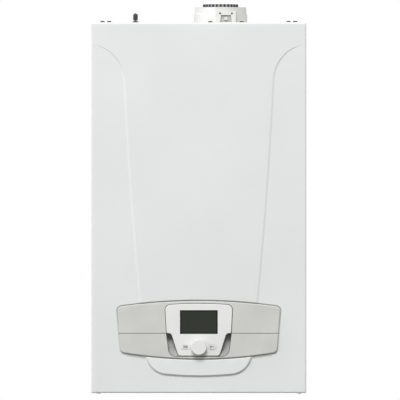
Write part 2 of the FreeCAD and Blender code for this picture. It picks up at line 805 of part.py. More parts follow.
def rear_frame():
    """Back sheet with flanges, hung on the bracket's hooks by two slots."""
    y = (-WALL_POCKET - REAR_FLANGE, -WALL_POCKET)
    outer = box((-INNER_HALF, INNER_HALF), y, (FLOOR_TOP, TOP - SHEET))
    inner = box(
        (-INNER_HALF + SHEET, INNER_HALF - SHEET),
        (y[0] - CUT_OVERRUN, BACK_PLATE_FRONT),
        (FLOOR_TOP + SHEET, TOP - 2 * SHEET),
    )
    hook_top = BRACKET_HEIGHT / 2
    slots = []
    for side in SIDES:
        half = HOOK_WIDTH / 2 + HOOK_PLAY
        x = (side * HOOK_SPACING / 2 - half, side * HOOK_SPACING / 2 + half)
        z = (hook_top - BRACKET_SHEET - HOOK_LIP - HOOK_PLAY, hook_top)
        slots.append(box(x, (y[0] - CUT_OVERRUN, CUT_OVERRUN), z))
    return cut_all(outer.cut(inner), slots)


def right_side_panel():
    """Side sheet with a return along its front edge and a foot that the cover's screw slot opens into."""
    wall = box((INNER_HALF, HALF_WIDTH), (CHASSIS_FRONT, 0), (BOTTOM, TOP))
    front_return = box(
        (INNER_HALF - SIDE_RETURN, INNER_HALF),
        (CHASSIS_FRONT, CHASSIS_FRONT + SHEET),
        (BOTTOM + RETURN_LIFT, TOP - TOP_FLANGE - FIT_GAP),
    )
    foot_z = BOTTOM + SHEET + FIT_GAP
    foot_y = (CHASSIS_FRONT, CHASSIS_FRONT + SIDE_FOOT_DEPTH)
    foot = box((INNER_HALF - SIDE_FOOT, INNER_HALF), foot_y, (foot_z, foot_z + SHEET))
    half = SCREW_RADIUS + COVER_SLOT_GAP
    slot_z = (foot_z - CUT_OVERRUN, foot_z + SHEET + CUT_OVERRUN)
    slot = box(
        (COVER_SCREW_X - half, COVER_SCREW_X + half),
        (CHASSIS_FRONT - CUT_OVERRUN, COVER_SCREW_Y),
        slot_z,
    )
    slot_end = rod(half, (COVER_SCREW_X, COVER_SCREW_Y, slot_z[0]), (COVER_SCREW_X, COVER_SCREW_Y, slot_z[1]))
    return fuse(wall, front_return, foot.cut(slot).cut(slot_end))


def left_side_panel():
    """The other side sheet."""
    return mirrored(right_side_panel())


def lug_screw_places():
    """Seats of the screws that hold the two lugs."""
    y = CHASSIS_FRONT + LUG_SETBACK + LUG_DEPTH / 2
    places = []
    for side in SIDES:
        for inset in (LUG_SCREW_INSET, LUG_LENGTH - LUG_SCREW_INSET):
            places.append((side * (LUG_X - inset), y, TOP + LUG_SHEET))
    return places


def flue_screw_places():
    """Seats of the screws that hold the flue adaptor."""
    middle = FLUE_X + SAMPLE_BOSS_SHIFT
    xs = [middle + side * FLUE_SCREW_SPACING / 2 for side in SIDES]
    return [(x, FLUE_Y + side * FLUE_SCREW_REACH, TOP + FLUE_FLANGE_SHEET) for x in xs for side in SIDES]


def door_screw_places():
    """Seats of the screws that hold the burner door."""
    radius = HX_MOUTH_RADIUS + DOOR_LAP / 2
    ring = around(DOOR_SCREW_COUNT, radius, (HX_X, HX_Z), math.pi / DOOR_SCREW_COUNT)
    return [(x, DOOR_FRONT, z) for x, z, angle in ring]


DOWN = (0, 0, -1)
BACK = (0, 1, 0)


def top_plate():
    """Top sheet with a front flange, two side flanges and the holes for flue, valve and screws."""
    sheet = box((-INNER_HALF, INNER_HALF), (CHASSIS_FRONT, 0), (TOP - SHEET, TOP))
    z = (TOP - TOP_FLANGE, TOP)
    flanges = [box((-INNER_HALF, INNER_HALF), (CHASSIS_FRONT, CHASSIS_FRONT + SHEET), z)]
    for side in SIDES:
        x = (side * (INNER_HALF - SHEET), side * INNER_HALF)
        flanges.append(box(x, (CHASSIS_FRONT, -WALL_POCKET - REAR_FLANGE - FIT_GAP), z))
    flue = rod(
        COLLAR_RADIUS - COLLAR_WALL,
        (FLUE_X, FLUE_Y, TOP - CUT_OVERRUN),
        (FLUE_X, FLUE_Y, TOP + CUT_OVERRUN),
    )
    valve = rod(
        VALVE_TUBE_RADIUS + FIT_GAP,
        (VALVE_X, VALVE_Y, TOP - CUT_OVERRUN),
        (VALVE_X, VALVE_Y, TOP + CUT_OVERRUN),
    )
    holes = [screw_hole(place, DOWN, SCREW_REACH) for place in lug_screw_places() + flue_screw_places()]
    return cut_all(fuse(sheet, *flanges), [flue, valve, *holes])


def floor_hole(radius, x, y):
    """Cutter for a round hole in the bottom plate."""
    return rod(radius, (x, y, FLOOR_UNDER - CUT_OVERRUN), (x, y, FLOOR_TOP + CUT_OVERRUN))


def bottom_plate():
    """Bottom sheet with the holes for all fittings, and two ears that carry the control box."""
    sheet = box(
        (-INNER_HALF, INNER_HALF),
        (CHASSIS_FRONT + SHEET, -WALL_POCKET),
        (FLOOR_UNDER, FLOOR_TOP),
    )
    ears = []
    for side in SIDES:
        x = (side * (BOX_WIDTH / 2 + EAR_GAP), side * (BOX_WIDTH / 2 + EAR_GAP + EAR_SHEET))
        y = (BOX_HINGE_Y - EAR_RADIUS, BOX_HINGE_Y + EAR_RADIUS)
        ears.append(box(x, y, (FLOOR_UNDER, BOX_HINGE_Z)))
        ears.append(rod(EAR_RADIUS, (x[0], BOX_HINGE_Y, BOX_HINGE_Z), (x[1], BOX_HINGE_Y, BOX_HINGE_Z)))
    reach = BOX_WIDTH / 2 + EAR_GAP + EAR_SHEET + CUT_OVERRUN
    hinge = (BOX_HINGE_Y, BOX_HINGE_Z)
    holes = [rod(BOX_PIN_RADIUS + RUNNING_GAP, (-reach, *hinge), (reach, *hinge))]
    for x, radius in UNIONS:
        holes.append(floor_hole(radius + UNION_HOLE_GAP, x, UNION_Y))
    holes.append(floor_hole(RELIEF_OUTLET_RADIUS + UNION_HOLE_GAP, RELIEF_X, UNION_Y))
    holes.append(floor_hole(TRAP_SPIGOT_RADIUS + UNION_HOLE_GAP, TRAP_OUTLET_X, FITTING_Y))
    holes.append(floor_hole(FILL_STEM_RADIUS + UNION_HOLE_GAP, FILL_X, FITTING_Y))
    holes.append(floor_hole(GAUGE_RADIUS + UNION_HOLE_GAP, GAUGE_X, GAUGE_Y))
    for x in (GLAND_X, GLAND_X + GLAND_PITCH):
        holes.append(floor_hole(GLAND_BORE_RADIUS + GLAND_WALL + FIT_GAP, x, GLAND_Y))
    return cut_all(fuse(sheet, *ears), holes)


def fixing_screws():
    """Screws of the lugs, the flue adaptor and the burner door."""
    screws = [screw(place, DOWN, SCREW_REACH) for place in lug_screw_places() + flue_screw_places()]
    screws += [screw(place, BACK, DOOR_SCREW_REACH) for place in door_screw_places()]
    return Part.makeCompound(screws)


def panel_lugs():
    """Two small angle brackets on the top plate, with their upright legs outwards."""
    lugs = []
    for side in SIDES:
        outer = side * LUG_X
        y = (CHASSIS_FRONT + LUG_SETBACK, CHASSIS_FRONT + LUG_SETBACK + LUG_DEPTH)
        base = box((outer, outer - side * LUG_LENGTH), y, (TOP, TOP + LUG_SHEET))
        leg = box((outer, outer - side * LUG_SHEET), y, (TOP, TOP + LUG_HEIGHT))
        lugs.append(fuse(base, leg))
    holes = [screw_hole(place, DOWN, SCREW_REACH) for place in lug_screw_places()]
    return Part.makeCompound([cut_all(lug, holes) for lug in lugs])


# Flue adaptor

def flue_rod(radius, z):
    """Upright bar on the flue's axis."""
    return rod(radius, (FLUE_X, FLUE_Y, min(z)), (FLUE_X, FLUE_Y, max(z)))


def sample_places():
    """Middles of the two sampling plugs, on the front of their boss."""
    middle = FLUE_X + SAMPLE_BOSS_SHIFT
    y = FLUE_Y - SAMPLE_BOSS_REACH
    return [(middle + side * SAMPLE_PLUG_SPACING / 2, y, TOP + SAMPLE_PLUG_HEIGHT) for side in SIDES]


def flue_adaptor():
    """Square flange, stepped collar for the air pipe, and a boss with a pocket and a square stud in front."""
    half = FLUE_FLANGE_WIDTH / 2
    flange = box(
        (FLUE_X - half, FLUE_X + half),
        (FLUE_Y - half, FLUE_Y + half),
        (TOP, TOP + FLUE_FLANGE_SHEET),
    )
    flange = round_along(flange, FLUE_FLANGE_CORNER, 2)
    base = flue_rod(COLLAR_BASE_RADIUS, (TOP, TOP + COLLAR_BASE_HEIGHT))
    collar = flue_rod(COLLAR_RADIUS, (TOP, TOP + COLLAR_HEIGHT))
    middle = FLUE_X + SAMPLE_BOSS_SHIFT
    front = FLUE_Y - SAMPLE_BOSS_REACH
    boss = box(
        (middle - SAMPLE_BOSS_WIDTH / 2, middle + SAMPLE_BOSS_WIDTH / 2),
        (front, FLUE_Y),
        (TOP, TOP + SAMPLE_BOSS_HEIGHT),
    )
    floor = front + SAMPLE_POCKET_DEPTH
    foot, head = SAMPLE_POCKET_FOOT_WIDTH / 2, SAMPLE_POCKET_TOP_WIDTH / 2
    low, high = TOP + FLUE_FLANGE_SHEET, TOP + SAMPLE_POCKET_HEIGHT
    pocket = prism(outline((0.0, high), [((head, high),), ((foot, low),), ((0.0, low),)]), (front, floor))
    pocket.translate(Vector(middle, 0, 0))
    stud = centred_box(
        (middle, floor - SAMPLE_STUD_REACH / 2, TOP + SAMPLE_STUD_HEIGHT),
        (SAMPLE_STUD_WIDTH, SAMPLE_STUD_REACH, SAMPLE_STUD_WIDTH),
    )
    solid = fuse(fuse(flange, base, collar, boss).cut(pocket), stud)
    cutters = [flue_rod(COLLAR_RADIUS - COLLAR_WALL, (TOP - CUT_OVERRUN, TOP + COLLAR_HEIGHT + CUT_OVERRUN))]
    cutters += [screw_hole(place, DOWN, SCREW_REACH) for place in flue_screw_places()]
    for x, y, z in sample_places():
        cutters.append(rod(SAMPLE_PLUG_RADIUS + FIT_GAP, (x, y, z), (x, y + SAMPLE_PLUG_DEPTH + FIT_GAP, z)))
    solid = cut_all(solid, cutters)
    ribs = []
    inner, outer = DUCT_RADIUS + FIT_GAP, COLLAR_RADIUS - COLLAR_WALL / 2
    for x, y, angle in around(COLLAR_RIB_COUNT, 0.0, (FLUE_X, FLUE_Y), math.pi / 2):
        rib = box(
            (inner, outer),
            (-COLLAR_RIB_SHEET / 2, COLLAR_RIB_SHEET / 2),
            (TOP, TOP + COLLAR_RIB_HEIGHT),
        )
        rib.rotate(Vector(0, 0, 0), Vector(0, 0, 1), math.degrees(angle))
        rib.translate(Vector(x, y, 0))
        ribs.append(rib)
    return fuse(solid, *ribs)


def flue_duct():
    """Flue pipe from the heat exchanger's spigot up to the collar, where the terminal's pipe plugs in."""
    z = (HX_SPIGOT_TOP, DUCT_TOP)
    return flue_rod(DUCT_RADIUS, z).cut(flue_rod(FLUE_PIPE_RADIUS, z))


def flue_seal():
    """Ribbed rubber seal on the mouth of the flue duct."""
    z = (DUCT_TOP, DUCT_TOP + SEAL_HEIGHT)
    ribs = []
    for x, y, angle in around(SEAL_RIB_COUNT, 0.0, (FLUE_X, FLUE_Y)):
        rib = box((FLUE_PIPE_RADIUS, SEAL_RADIUS + SEAL_RIB), (-SEAL_RIB_WIDTH / 2, SEAL_RIB_WIDTH / 2), z)
        rib.rotate(Vector(0, 0, 0), Vector(0, 0, 1), math.degrees(angle))
        rib.translate(Vector(x, y, 0))
        ribs.append(rib)
    return fuse(flue_rod(SEAL_RADIUS, z), *ribs).cut(flue_rod(FLUE_PIPE_RADIUS + SEAL_BORE_GAP, z))


def sampling_plugs():
    """Two round plugs in the sampling boss."""
    pieces = []
    for x, y, z in sample_places():
        head = rod(SAMPLE_PLUG_HEAD_RADIUS, (x, y - SAMPLE_PLUG_HEAD, z), (x, y, z))
        pieces.append(fuse(head, rod(SAMPLE_PLUG_RADIUS, (x, y, z), (x, y + SAMPLE_PLUG_DEPTH, z))))
    return Part.makeCompound(pieces)


# Expansion vessel and charging valve

def expansion_vessel():
    """Flat steel vessel of two pressed halves, face to face at its middle."""
    halves = []
    for face in (BACK_PLATE_FRONT, BACK_PLATE_FRONT - VESSEL_DEPTH):
        y = (face, VESSEL_MIDDLE)
        x = (-VESSEL_WIDTH / 2, VESSEL_WIDTH / 2)
        outer = round_along(box(x, y, (VESSEL_BOTTOM, VESSEL_TOP)), VESSEL_CORNER_RADIUS, 1)
        inward = VESSEL_WALL if face < VESSEL_MIDDLE else -VESSEL_WALL
        inner = box(
            (x[0] + VESSEL_WALL, x[1] - VESSEL_WALL),
            (face + inward, VESSEL_MIDDLE + inward),
            (VESSEL_BOTTOM + VESSEL_WALL, VESSEL_TOP - VESSEL_WALL),
        )
        halves.append(outer.cut(round_along(inner, VESSEL_CORNER_RADIUS - VESSEL_WALL, 1)))
    return Part.makeCompound(halves)


def vessel_valve():
    """Charging tube from the vessel up through the top plate, with its nut, collar and valve stem."""
    run_z = TOP - VALVE_RUN_DROP
    collar_z = TOP + VALVE_COLLAR_LIFT
    vessel_y = (BACK_PLATE_FRONT + VESSEL_MIDDLE) / 2
    points = [
        (VALVE_X, vessel_y, VESSEL_TOP),
        (VALVE_X, vessel_y, run_z),
        (VALVE_X, VALVE_Y, run_z),
        (VALVE_X, VALVE_Y, collar_z),
    ]
    line = bent_tube(points, VALVE_TUBE_RADIUS, VALVE_TUBE_BORE, VALVE_BEND)
    nut = hex_bar(VALVE_NUT_ACROSS, VALVE_X, VALVE_Y, (TOP, TOP + VALVE_NUT_HEIGHT))
    bore = rod(VALVE_TUBE_BORE, (VALVE_X, VALVE_Y, TOP), (VALVE_X, VALVE_Y, TOP + VALVE_NUT_HEIGHT))
    collar_top = collar_z + VALVE_COLLAR_HEIGHT
    collar = rod(VALVE_COLLAR_RADIUS, (VALVE_X, VALVE_Y, collar_z), (VALVE_X, VALVE_Y, collar_top))
    stem = rod(VALVE_STEM_RADIUS, (VALVE_X, VALVE_Y, collar_z), (VALVE_X, VALVE_Y, TOP + VALVE_STEM_LIFT))
    return fuse(line, nut.cut(bore), collar, stem)


def valve_cap():
    """Knurled cap screwed on the valve stem."""
    foot = TOP + CAP_LIFT
    cap = rod(CAP_RADIUS, (VALVE_X, VALVE_Y, foot), (VALVE_X, VALVE_Y, foot + CAP_HEIGHT))
    cap = round_edges(cap, CAP_EDGE_RADIUS, 2, foot + CAP_HEIGHT)
    cutters = [
        rod(
            VALVE_STEM_RADIUS + RUNNING_GAP,
            (VALVE_X, VALVE_Y, foot),
            (VALVE_X, VALVE_Y, TOP + VALVE_STEM_LIFT),
        )
    ]
    for x, y, angle in around(CAP_GROOVE_COUNT, CAP_RADIUS, (VALVE_X, VALVE_Y)):
        top = foot + CAP_HEIGHT - 2 * CAP_EDGE_RADIUS
        cutters.append(rod(CAP_GROOVE_RADIUS, (x, y, foot), (x, y, top)))
    return cut_all(cap, cutters)


# Heat exchanger and burner

def exchanger_rod(radius, y):
    """Bar along Y on the heat exchanger's axis."""
    return rod(radius, (HX_X, min(y), HX_Z), (HX_X, max(y), HX_Z))


def port_places():
    """Flow and return ports under the heat exchanger."""
    return [(HX_X + side * HX_PORT_SPACING / 2, HX_PORT_Y) for side in SIDES]


def exchanger_casing():
    """Round casing with four feet, a flue spigot on top, and a drain and two water ports underneath."""
    pieces = [flue_rod(DUCT_RADIUS, (HX_Z, HX_SPIGOT_TOP))]
    bores = [flue_rod(HX_FLUE_BORE, (HX_Z, HX_SPIGOT_TOP + CUT_OVERRUN))]
    for x, y in port_places():
        pieces.append(rod(HX_PORT_RADIUS, (x, y, HX_PORT_END), (x, y, HX_Z)))
        bores.append(rod(HX_PORT_BORE, (x, y, HX_PORT_END - CUT_OVERRUN), (x, y, HX_Z)))
    pieces.append(rod(HX_PORT_RADIUS, (TRAP_X, FITTING_Y, TRAP_TOP), (TRAP_X, FITTING_Y, HX_Z)))
    bores.append(rod(HX_PORT_BORE, (TRAP_X, FITTING_Y, TRAP_TOP - CUT_OVERRUN), (TRAP_X, FITTING_Y, HX_Z)))
    reach = HX_FOOT_SPACING / 2
    for a in SIDES:
        for b in SIDES:
            x, z = HX_X + a * reach, HX_Z + b * reach
            pieces.append(rod(HX_FOOT_RADIUS, (x, HX_BACK, z), (x, BACK_PLATE_FRONT, z)))
    solid = fuse(exchanger_rod(HX_RADIUS, (HX_FRONT, HX_BACK)), *pieces)
    bores.append(exchanger_rod(HX_RADIUS - HX_WALL, (HX_FRONT + HX_WALL, HX_BACK - HX_WALL)))
    bores.append(exchanger_rod(HX_MOUTH_RADIUS, (HX_FRONT - CUT_OVERRUN, HX_FRONT + 2 * HX_WALL)))
    bores += [screw_hole(place, BACK, DOOR_SCREW_REACH) for place in door_screw_places()]
    return cut_all(solid, bores)


def exchanger_coil():
    """Water coil just inside the casing, wound along Y in quarter turns."""
    radius = HX_RADIUS - HX_WALL - COIL_GAP - COIL_TUBE_RADIUS

    def place(turn):
        angle = 2 * math.pi * turn
        along = HX_FRONT + HX_WALL + COIL_START + COIL_PITCH * turn
        return Vector(HX_X + radius * math.cos(angle), along, HX_Z + radius * math.sin(angle))

    edges = []
    for quarter in range(4 * COIL_TURN_COUNT):
        turns = [(quarter + part) / 4 for part in (0, 0.5, 1)]
        edges.append(Part.Arc(*[place(turn) for turn in turns]).toShape())
    path = Part.Wire(edges)
    return swept(path, COIL_TUBE_RADIUS).cut(swept(path, COIL_TUBE_BORE))


def electrode_places():
    """Places of the two electrodes on the burner door."""
    places = []
    for side in SIDES:
        angle = side * math.radians(ELECTRODE_ANGLE)
        places.append((HX_X + ELECTRODE_CIRCLE * math.cos(angle), HX_Z + ELECTRODE_CIRCLE * math.sin(angle)))
    return places


def burner_door():
    """Door on the heat exchanger's mouth, with the horn that brings the mixture from the fan."""
    disc = exchanger_rod(DOOR_RADIUS, (DOOR_FRONT, HX_FRONT))
    half = HORN_HEIGHT / 2
    horn = box((HORN_LEFT, HX_X + HORN_END), (HORN_FRONT, DOOR_FRONT), (HX_Z - half, HX_Z + half))
    passage = box(
        (HORN_LEFT - CUT_OVERRUN, HX_X + HORN_END - HORN_WALL),
        (HORN_FRONT + HORN_WALL, DOOR_FRONT - HORN_WALL),
        (HX_Z - half + HORN_WALL, HX_Z + half - HORN_WALL),
    )
    through = (DOOR_FRONT - CUT_OVERRUN, HX_FRONT + CUT_OVERRUN)
    cutters = [passage, exchanger_rod(HORN_HOLE_RADIUS, (HORN_FRONT + HORN_DEPTH / 2, through[1]))]
    for x, z in electrode_places():
        cutters.append(rod(ELECTRODE_RADIUS + FIT_GAP, (x, through[0], z), (x, through[1], z)))
    cutters += [screw_hole(place, BACK, DOOR_SCREW_REACH) for place in door_screw_places()]
    return cut_all(fuse(disc, horn), cutters)


def burner_tube():
    """Closed burner tube on the back of the door."""
    end = HX_FRONT + BURNER_LENGTH
    outer = exchanger_rod(BURNER_RADIUS, (HX_FRONT, end))
    return outer.cut(exchanger_rod(BURNER_RADIUS - BURNER_WALL, (HX_FRONT, end - BURNER_WALL)))


def electrodes():
    """Spark and flame-sensing rods with their ceramic sleeves on the door."""
    pieces = []
    for x, z in electrode_places():
        ceramic = rod(CERAMIC_RADIUS, (x, DOOR_FRONT - CERAMIC_LENGTH, z), (x, DOOR_FRONT, z))
        pin = rod(ELECTRODE_RADIUS, (x, DOOR_FRONT, z), (x, DOOR_FRONT + ELECTRODE_LENGTH, z))
        pieces.append(fuse(ceramic, pin))
    return Part.makeCompound(pieces)


# Fan and mixer

def fan_rod(radius, y):
    """Bar along Y on the fan's axis."""
    return rod(radius, (FAN_X, min(y), FAN_Z), (FAN_X, max(y), FAN_Z))


def fan_housing():
    """Round fan housing with an outlet that meets the door's horn."""
    half = HORN_HEIGHT / 2
    outlet = box((FAN_X, HORN_LEFT), (HORN_FRONT, FAN_BACK), (HX_Z - half, HX_Z + half))
    passage = box(
        (FAN_X, HORN_LEFT + CUT_OVERRUN),
        (HORN_FRONT + HORN_WALL, DOOR_FRONT - HORN_WALL),
        (HX_Z - half + HORN_WALL, HX_Z + half - HORN_WALL),
    )
    cutters = [
        passage,
        fan_rod(FAN_RADIUS - FAN_WALL, (FAN_FRONT + FAN_WALL, FAN_BACK - FAN_WALL)),
        fan_rod(FAN_INLET_RADIUS, (FAN_FRONT - CUT_OVERRUN, FAN_FRONT + 2 * FAN_WALL)),
        fan_rod(FAN_SHAFT_RADIUS + FAN_SHAFT_HOLE_GAP, (FAN_BACK - 2 * FAN_WALL, FAN_BACK + CUT_OVERRUN)),
    ]
    return cut_all(fuse(fan_rod(FAN_RADIUS, (FAN_FRONT, FAN_BACK)), outlet), cutters)


def fan_impeller():
    """Bladed wheel on the motor's shaft."""
    radius = FAN_RADIUS - FAN_WALL - IMPELLER_GAP
    back = FAN_BACK - FAN_WALL - IMPELLER_SIDE_GAP
    front = FAN_FRONT + FAN_WALL + IMPELLER_SIDE_GAP
    disc = fan_rod(radius, (back - IMPELLER_DISC, back))
    hub = fan_rod(IMPELLER_HUB_RADIUS, (front, back))
    shaft = fan_rod(FAN_SHAFT_RADIUS, (back, FAN_BACK + FAN_SHAFT_REACH))
    blades = []
    for x, z, angle in around(IMPELLER_BLADE_COUNT, 0.0, (FAN_X, FAN_Z)):
        blade = box((IMPELLER_BLADE_ROOT, radius), (front, back), (-IMPELLER_BLADE / 2, IMPELLER_BLADE / 2))
        blade.rotate(Vector(0, 0, 0), Vector(0, 1, 0), math.degrees(angle))
        blade.translate(Vector(x, 0, z))
        blades.append(blade)
    return fuse(disc, hub, shaft, *blades)


def fan_motor():
    """Motor on the back of the fan housing, with the bearing bore for the shaft."""
    end = FAN_BACK + FAN_MOTOR_LENGTH
    body = round_edges(fan_rod(FAN_MOTOR_RADIUS, (FAN_BACK, end)), FAN_CHEEK, 1, end)
    return body.cut(fan_rod(FAN_SHAFT_RADIUS + RUNNING_GAP, (FAN_BACK, FAN_BACK + FAN_SHAFT_REACH + FIT_GAP)))


def air_mixer():
    """Round mixer on the fan's inlet, with a gas spigot below and a flat air silencer above."""
    body = fan_rod(MIXER_RADIUS, (MIXER_FRONT, FAN_FRONT))
    spigot = rod(MIXER_SPIGOT_RADIUS, (FAN_X, MIXER_Y, MIXER_FOOT), (FAN_X, MIXER_Y, FAN_Z))
    half = SILENCER_WIDTH / 2
    top = FAN_Z + SILENCER_RISE
    y = (MIXER_FRONT, FAN_FRONT - SILENCER_GAP)
    silencer = box((FAN_X - half, FAN_X + half), y, (FAN_Z, top))
    inside = box(
        (FAN_X - half + SILENCER_WALL, FAN_X + half - SILENCER_WALL),
        (y[0] + SILENCER_WALL, y[1] - SILENCER_WALL),
        (FAN_Z, top + CUT_OVERRUN),
    )
    cutters = [
        inside,
        fan_rod(FAN_INLET_RADIUS, (MIXER_FRONT + MIXER_COVER, FAN_FRONT + CUT_OVERRUN)),
        rod(PIPE_BORE, (FAN_X, MIXER_Y, MIXER_FOOT - CUT_OVERRUN), (FAN_X, MIXER_Y, FAN_Z)),
    ]
    return cut_all(fuse(body, spigot, silencer), cutters)


# Gas valve and gas pipes

def gas_valve():
    """Valve block with its solenoid."""
    y = UNION_Y - GAS_VALVE_SHIFT
    middle = (0.0, y, (GAS_VALVE_FOOT + GAS_VALVE_TOP) / 2)
    block = centred_box(middle, (GAS_VALVE_WIDTH, GAS_VALVE_DEPTH, GAS_VALVE_HEIGHT))
    block = round_along(block, GAS_VALVE_EDGE, 2)
    side = -GAS_VALVE_WIDTH / 2
    coil = rod(GAS_COIL_RADIUS, (side - GAS_COIL_LENGTH, y, middle[2]), (side, y, middle[2]))
    return fuse(block, coil)


def gas_pipe():
    """Pipe from the gas union to the valve, and from the valve to the mixer."""
    lower = tube(PIPE_RADIUS, PIPE_BORE, (0.0, UNION_Y, UNION_TOP), (0.0, UNION_Y, GAS_VALVE_FOOT))
    start_y = UNION_Y - GAS_PORT_SHIFT
    points = [
        (0.0, start_y, GAS_VALVE_TOP),
        (0.0, start_y, GAS_RUN_Z),
        (FAN_X, MIXER_Y, GAS_RUN_Z),
        (FAN_X, MIXER_Y, MIXER_FOOT),
    ]
    return Part.makeCompound([lower, bent_tube(points, PIPE_RADIUS, PIPE_BORE, PIPE_BEND)])


# Condensate trap

def condensate_trap():
    """Trap bottle under the drain, with its outlet pipe down through the floor."""
    body = rod(TRAP_RADIUS, (TRAP_X, FITTING_Y, TRAP_SHOULDER), (TRAP_X, FITTING_Y, TRAP_TOP))
    neck_end = TRAP_SHOULDER - TRAP_NECK
    neck = rod(TRAP_NECK_RADIUS, (TRAP_X, FITTING_Y, neck_end), (TRAP_X, FITTING_Y, TRAP_SHOULDER))
    points = [
        (TRAP_X, FITTING_Y, TRAP_OUTLET_Z),
        (TRAP_OUTLET_X, FITTING_Y, TRAP_OUTLET_Z),
        (TRAP_OUTLET_X, FITTING_Y, FLOOR_TOP),
    ]
    path = bent_line(points, TRAP_OUTLET_BEND)
    end = (TRAP_OUTLET_X, FITTING_Y, BOTTOM + TRAP_OUTLET_END_LIFT)
    spigot = rod(TRAP_SPIGOT_RADIUS, end, points[-1])
    solid = fuse(body, neck, swept(path, TRAP_OUTLET_RADIUS), spigot)
    inner = TRAP_NECK_RADIUS - TRAP_WALL
    inside = rod(
        inner,
        (TRAP_X, FITTING_Y, neck_end - CUT_OVERRUN),
        (TRAP_X, FITTING_Y, TRAP_TOP - TRAP_WALL),
    )
    inlet = rod(HX_PORT_BORE, (TRAP_X, FITTING_Y, TRAP_SHOULDER), (TRAP_X, FITTING_Y, TRAP_TOP + CUT_OVERRUN))
    return cut_all(
        solid,
        [inside, inlet, swept(path, TRAP_OUTLET_BORE), rod(TRAP_SPIGOT_BORE, end, points[-1])],
    )


def trap_cup():
    """Cup that unscrews from the trap, with grip ribs."""
    top = TRAP_SHOULDER - FIT_GAP
    foot = top - TRAP_CUP_HEIGHT
    bore = TRAP_NECK_RADIUS + RUNNING_GAP
    radius = bore + TRAP_CUP_WALL - FIT_GAP
    cup = rod(radius, (TRAP_X, FITTING_Y, foot), (TRAP_X, FITTING_Y, top))
    ribs = []
    for x, y, angle in around(TRAP_CUP_RIB_COUNT, radius, (TRAP_X, FITTING_Y)):
        ribs.append(rod(TRAP_WALL / 2, (x, y, foot), (x, y, top)))
    hollow = rod(bore, (TRAP_X, FITTING_Y, foot + TRAP_CUP_WALL), (TRAP_X, FITTING_Y, top + CUT_OVERRUN))
    return fuse(cup, *ribs).cut(hollow)


# Pipes and the pump group

def pipe_unions():
    """Five threaded unions through the floor, each with its hexagon on top."""
    pieces = []
    for x, radius in UNIONS:
        end = BOTTOM + UNION_END_LIFT
        nut = hex_bar(2 * (radius + UNION_NUT_MARGIN), x, UNION_Y, (FLOOR_TOP, UNION_TOP))
        stub = rod(radius, (x, UNION_Y, end), (x, UNION_Y, FLOOR_TOP))
        bore = rod(
            radius - UNION_WALL,
            (x, UNION_Y, end - CUT_OVERRUN),
            (x, UNION_Y, UNION_TOP + CUT_OVERRUN),
        )
        pieces.append(fuse(nut, stub).cut(bore))
    return Part.makeCompound(pieces)


def heating_pipe(port, end_x, end_z):
    """Pipe from a heat exchanger port across and down to a fitting in the union row."""
    cross_z = HX_PORT_END - PIPE_CROSS_DROP
    points = [
        (port[0], port[1], HX_PORT_END),
        (port[0], port[1], cross_z),
        (end_x, UNION_Y, cross_z),
        (end_x, UNION_Y, end_z),
    ]
    return bent_tube(points, PIPE_RADIUS, PIPE_BORE, PIPE_BEND)


def heating_pipes():
    """Flow pipe to the diverter and return pipe from the pump."""
    flow_port, return_port = port_places()
    flow = heating_pipe(flow_port, DIVERTER_X, DIVERTER_TOP)
    back = heating_pipe(return_port, PUMP_X, PUMP_SPIGOT_TOP)
    return Part.makeCompound([flow, back])


def tap_water_pipes():
    """Hot and cold pipes between the plate exchanger and their unions."""
    pipes = []
    for side in SIDES:
        x = side * UNION_PITCH
        port_z = UNION_TOP + TAP_PORT_LIFT
        points = [(x, PLATE_FRONT, port_z), (x, UNION_Y, port_z), (x, UNION_Y, UNION_TOP)]
        pipes.append(bent_tube(points, TAP_PIPE_RADIUS, TAP_PIPE_BORE, TAP_PIPE_BEND))
    return Part.makeCompound(pipes)


def pump_rod(radius, y):
    """Bar along Y on the pump's axis."""
    return rod(radius, (PUMP_X, min(y), PUMP_Z), (PUMP_X, max(y), PUMP_Z))


def pump_housing():
    """Pump housing on the return union, with its outlet, side boss and air vent."""
    body = pump_rod(PUMP_RADIUS, (PUMP_FRONT, PUMP_BACK))
    half = PUMP_BASE_WIDTH / 2
    base = box((PUMP_X - half, PUMP_X + half), (UNION_Y - half, UNION_Y + half), (UNION_TOP, PUMP_Z))
    spigot = rod(PUMP_SPIGOT_RADIUS, (PUMP_X, UNION_Y, PUMP_Z), (PUMP_X, UNION_Y, PUMP_SPIGOT_TOP))
    boss = rod(PUMP_BOSS_RADIUS, (PUMP_X, UNION_Y, PUMP_Z), (PUMP_BOSS_END, UNION_Y, PUMP_Z))
    vent_x = PUMP_X + PUMP_VENT_SHIFT
    vent = rod(
        PUMP_VENT_RADIUS,
        (vent_x, UNION_Y, PUMP_Z),
        (vent_x, UNION_Y, PUMP_Z + PUMP_RADIUS + PUMP_VENT_RISE),
    )
    chamber = pump_rod(PUMP_RADIUS - PUMP_WALL, (PUMP_FRONT - CUT_OVERRUN, PUMP_BACK - PUMP_WALL))
    inlet = rod(PIPE_BORE, (PUMP_X, UNION_Y, UNION_TOP - CUT_OVERRUN), (PUMP_X, UNION_Y, PUMP_Z))
    outlet = rod(PIPE_BORE, (PUMP_X, UNION_Y, PUMP_Z), (PUMP_X, UNION_Y, PUMP_SPIGOT_TOP + CUT_OVERRUN))
    return cut_all(fuse(body, base, spigot, boss, vent), [chamber, inlet, outlet])


